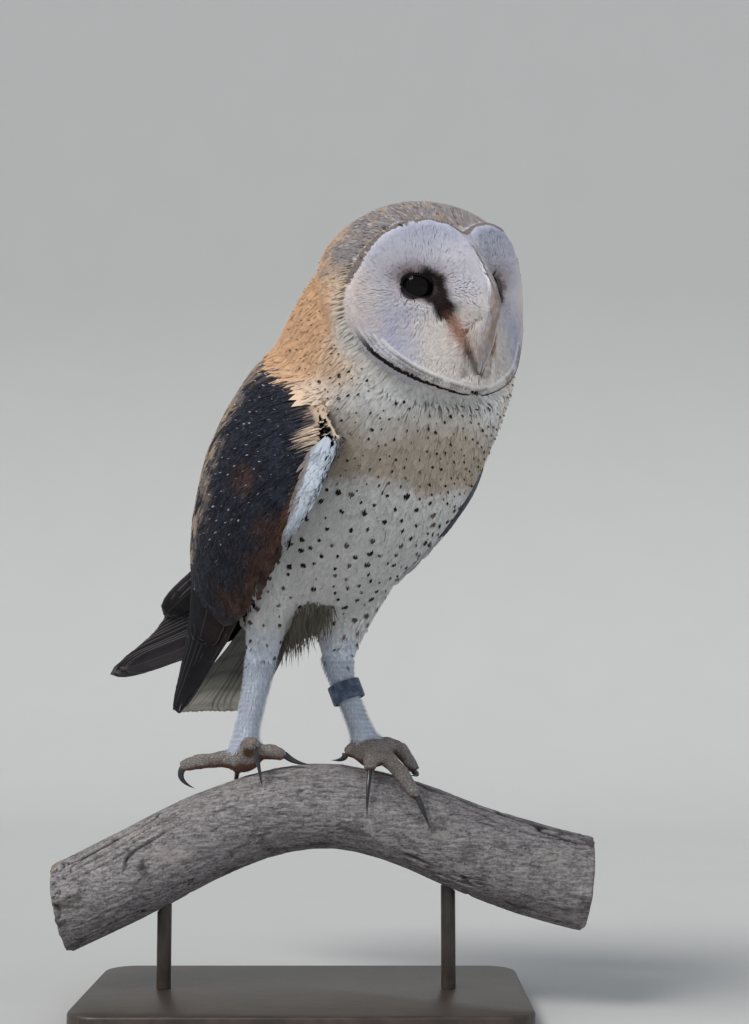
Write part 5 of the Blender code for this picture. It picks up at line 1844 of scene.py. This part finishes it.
def build_perch():
    """The cut branch: furrowed grey bark with cracks along it, and bare end grain."""
    piece = copied("perch", "branch")
    modified(piece, "REMESH", mode="VOXEL", voxel_size=BRANCH_VOXEL)
    modified(piece, "SUBSURF", subdivision_type="SIMPLE", levels=1, render_levels=1)
    modified(piece, "SMOOTH", factor=0.5, iterations=3)
    co, normal = points_of(piece), normals_of(piece)
    bins = np.linspace(co[:, 0].min(), co[:, 0].max(), BRANCH_SLICES + 1)
    place = np.clip(np.digitize(co[:, 0], bins) - 1, 0, BRANCH_SLICES - 1)
    slices = [co[place == number, 1:] for number in range(BRANCH_SLICES)]
    middle = np.array([(part.max(0) + part.min(0)) / 2 for part in slices])
    centre = (bins[1:] + bins[:-1]) / 2
    axis_y, axis_z = np.interp(co[:, 0], centre, middle[:, 0]), np.interp(co[:, 0], centre, middle[:, 1])
    slope = np.gradient(middle[:, 1], centre)
    slope = np.arctan(np.interp(co[:, 0], centre, slope))
    rise = co[:, 2] - axis_z
    along = co[:, 0] / np.cos(slope) + rise * np.sin(slope)
    aside = np.stack((along * 0.16, co[:, 1] - axis_y, rise * np.cos(slope)), 1)
    cut = step(0.80, 0.95, np.abs(normal[:, 0] * np.cos(slope) + normal[:, 2] * np.sin(slope)))
    cut = cut * step(0.012, 0.004, np.minimum(co[:, 0] - co[:, 0].min(), co[:, 0].max() - co[:, 0]))
    furrow = 1 - np.abs(2 * cloud(aside, 0.0042, 21) - 1)
    fine = 1 - np.abs(2 * cloud(aside * (1.6, 1, 1), 0.0017, 22) - 1)
    rare = step(0.50, 0.72, cloud(aside, 0.013, 23))
    crack = step(0.88, 0.985, furrow) * (0.25 + 0.75 * rare)
    slit = step(0.90, 0.99, fine) * 0.55
    knot = step(0.80, 0.90, cloud(co, 0.016, 24)) * 0.8
    lumps = cloud(aside * (3, 1, 1), 0.011, 25)
    deep = (0.0013 * crack + 0.0006 * slit + 0.0010 * knot + 0.0008 * (1 - lumps)) * (1 - cut)
    rays = 0.0003 * step(0.9, 1.0, 1 - np.abs(2 * cloud(co, 0.003, 26) - 1)) * cut
    set_points(piece, co - normal * (deep + rays)[:, None])
    weighted(piece, np.clip(crack + slit * 0.7 + knot * 0.35, 0, 1) * (1 - cut), "crack")
    weighted(piece, cut, "cut")
    weighted(piece, np.hypot(co[:, 1] - axis_y, rise), "ring")
    return smoothed(piece)


# ------------------------------------------------------------------ stage
def lamp(name, kind, place, aim, power, colour):
    data = bpy.data.lights.new(name, kind)
    data.energy, data.color = power, colour
    piece = added(name, data)
    piece.location = place
    piece.rotation_euler = (Vector(aim) - Vector(place)).to_track_quat("-Z", "Y").to_euler()
    return piece


def build_floor():
    """A pale floor that curves up into a backdrop."""
    turn = (np.arange(FLOOR_BENDS) + 0.5) / FLOOR_BENDS * math.pi / 2
    bend = np.stack((np.cos(turn), np.sin(turn)), 1) * FLOOR_RADIUS * math.pi / 2 / FLOOR_BENDS
    line = np.cumsum(np.concatenate((((FLOOR_FRONT, 0), (FLOOR_DEPTH, 0)), bend, ((0, BACKDROP_HEIGHT),))), 0)
    points = np.array([(x, y, z) for y, z in line for x in (-FLOOR_DEPTH / 2, FLOOR_DEPTH / 2)])
    floor = built("floor", points, [(k, k + 1, k + 3, k + 2) for k in range(0, len(points) - 2, 2)])
    smoothed(floor)
    floor.data.materials.append(stage_finish())


def build_stage():
    """The floor, a soft sun from the left, a weak blue fill, a low sun from behind, and the camera."""
    build_floor()
    key = lamp("key_light", "SUN", (-0.75, -0.75, 1.15), (0, 0, 0), 2.4, (1.0, 0.965, 0.92))
    key.data.angle = math.radians(25)
    fill = lamp("fill_light", "AREA", (1.30, -1.10, 0.75), (0, 0, 0.25), 6, (0.90, 0.95, 1.0))
    fill.data.size = 1.2
    fill.visible_glossy = False
    back = lamp("back_light", "SUN", (-0.75, 0.95, 1.10), (0, 0, 0), 0.9, (1.0, 0.96, 0.90))
    back.data.angle = math.radians(20)
    world = bpy.data.worlds.new("pale_studio")
    world.use_nodes = True
    sky = world.node_tree.nodes["Background"].inputs
    sky["Color"].default_value = (0.82, 0.87, 0.93, 1)
    sky["Strength"].default_value = 0.55
    bpy.context.scene.world = world
    data = bpy.data.cameras.new("camera")
    data.lens = LENS
    camera = added("camera", data)
    camera.location = CAMERA_AT
    camera.rotation_euler = (CAMERA_TILT, 0, 0)
    bpy.context.scene.camera = camera
    bpy.context.scene.view_settings.view_transform = "Standard"


# ------------------------------------------------------------------ the whole model
def main():
    build_stage()
    for name, side in (("wing_right", -1), ("wing_left", 1)):
        CHARTS[side] = Chart(name, TO_ROW @ np.array((side, 0, 0.2)))
    hull = build_hull()
    outer = Surface(hull)
    kind = kinds_of(outer.middle)
    disc = disc_part(outer.middle)
    disc[kind != "head"] = 2.0
    skin = joined([build_skin(hull), build_lid(-1), build_lid(1)], "skin")
    dressed(skin, skin_finish(), "plumage_pale", *FLESH)

    snout = build_snout()
    soft, slate = plumage_finish(), plumage_finish("slate_plumage", (0.13, 0.125, 0.13))
    coat = coat_body(outer, kind, disc) + coat_face(snout) + coat_rim(outer) + coat_bristles(snout)
    coat += coat_spots(outer, kind, disc) + coat_shaded_vent(outer, kind) + coat_lining(outer, kind)
    for piece in coat:
        if piece.name.startswith("wing"):
            dressed(piece, slate, "plumage_wing")
        else:
            dressed(piece, soft, "plumage_crown" if piece.name.startswith("head") else "plumage_pale")
    wing, flight = covert_finish(), flight_finish()
    for name, side, seed in (("wing_right", -1, 100), ("wing_left", 1, 200)):
        quills, coverts = coat_wing(CHARTS[side], name, seed)
        dressed(quills, flight, "plumage_wing", name)
        dressed(coverts, wing, "plumage_wing", name)
    for piece in coat_tail(Chart("tail", np.array((0, 0, 1.0)))):
        dressed(piece, flight, "plumage_pale", "tail")

    dark = eye_finish()
    for name, side in (("right", -1), ("left", 1)):
        dressed(build_eye(f"eyeball_{name}", side), dark, "eye", f"eye_{name}")
    claw = horn_finish("claw_black", (0.006, 0.006, 0.008), (0.040, 0.040, 0.046))
    for side in ("right", "left"):
        for toe in ("outer", "middle", "inner", "hind"):
            node = f"claw_{side}_{toe}"
            dressed(build_claw(node, f"talon_{side}_{toe}"), claw, "claw_horn", node)
    bill = horn_finish("bill_pink", (0.14, 0.08, 0.065), (0.30, 0.20, 0.16), 0.3, 0.3)
    for part in ("upper", "lower"):
        dressed(tucked(refined(f"bill_{part}", f"beak_{part}")), bill, "bill_horn", f"bill_{part}")
    dressed(refined("ring", "leg_band", bevel=0.0003), metal_finish(), "ring_metal", "ring")
    dressed(build_perch(), wood_finish(), "branch_wood", "perch")
    stand = stand_finish()
    for node in ("stand_base", "stand_rod_1", "stand_rod_2"):
        dressed(refined(node, node.replace("stand", "display"), bevel=0.0010), stand, "stand_finish", node)


main()
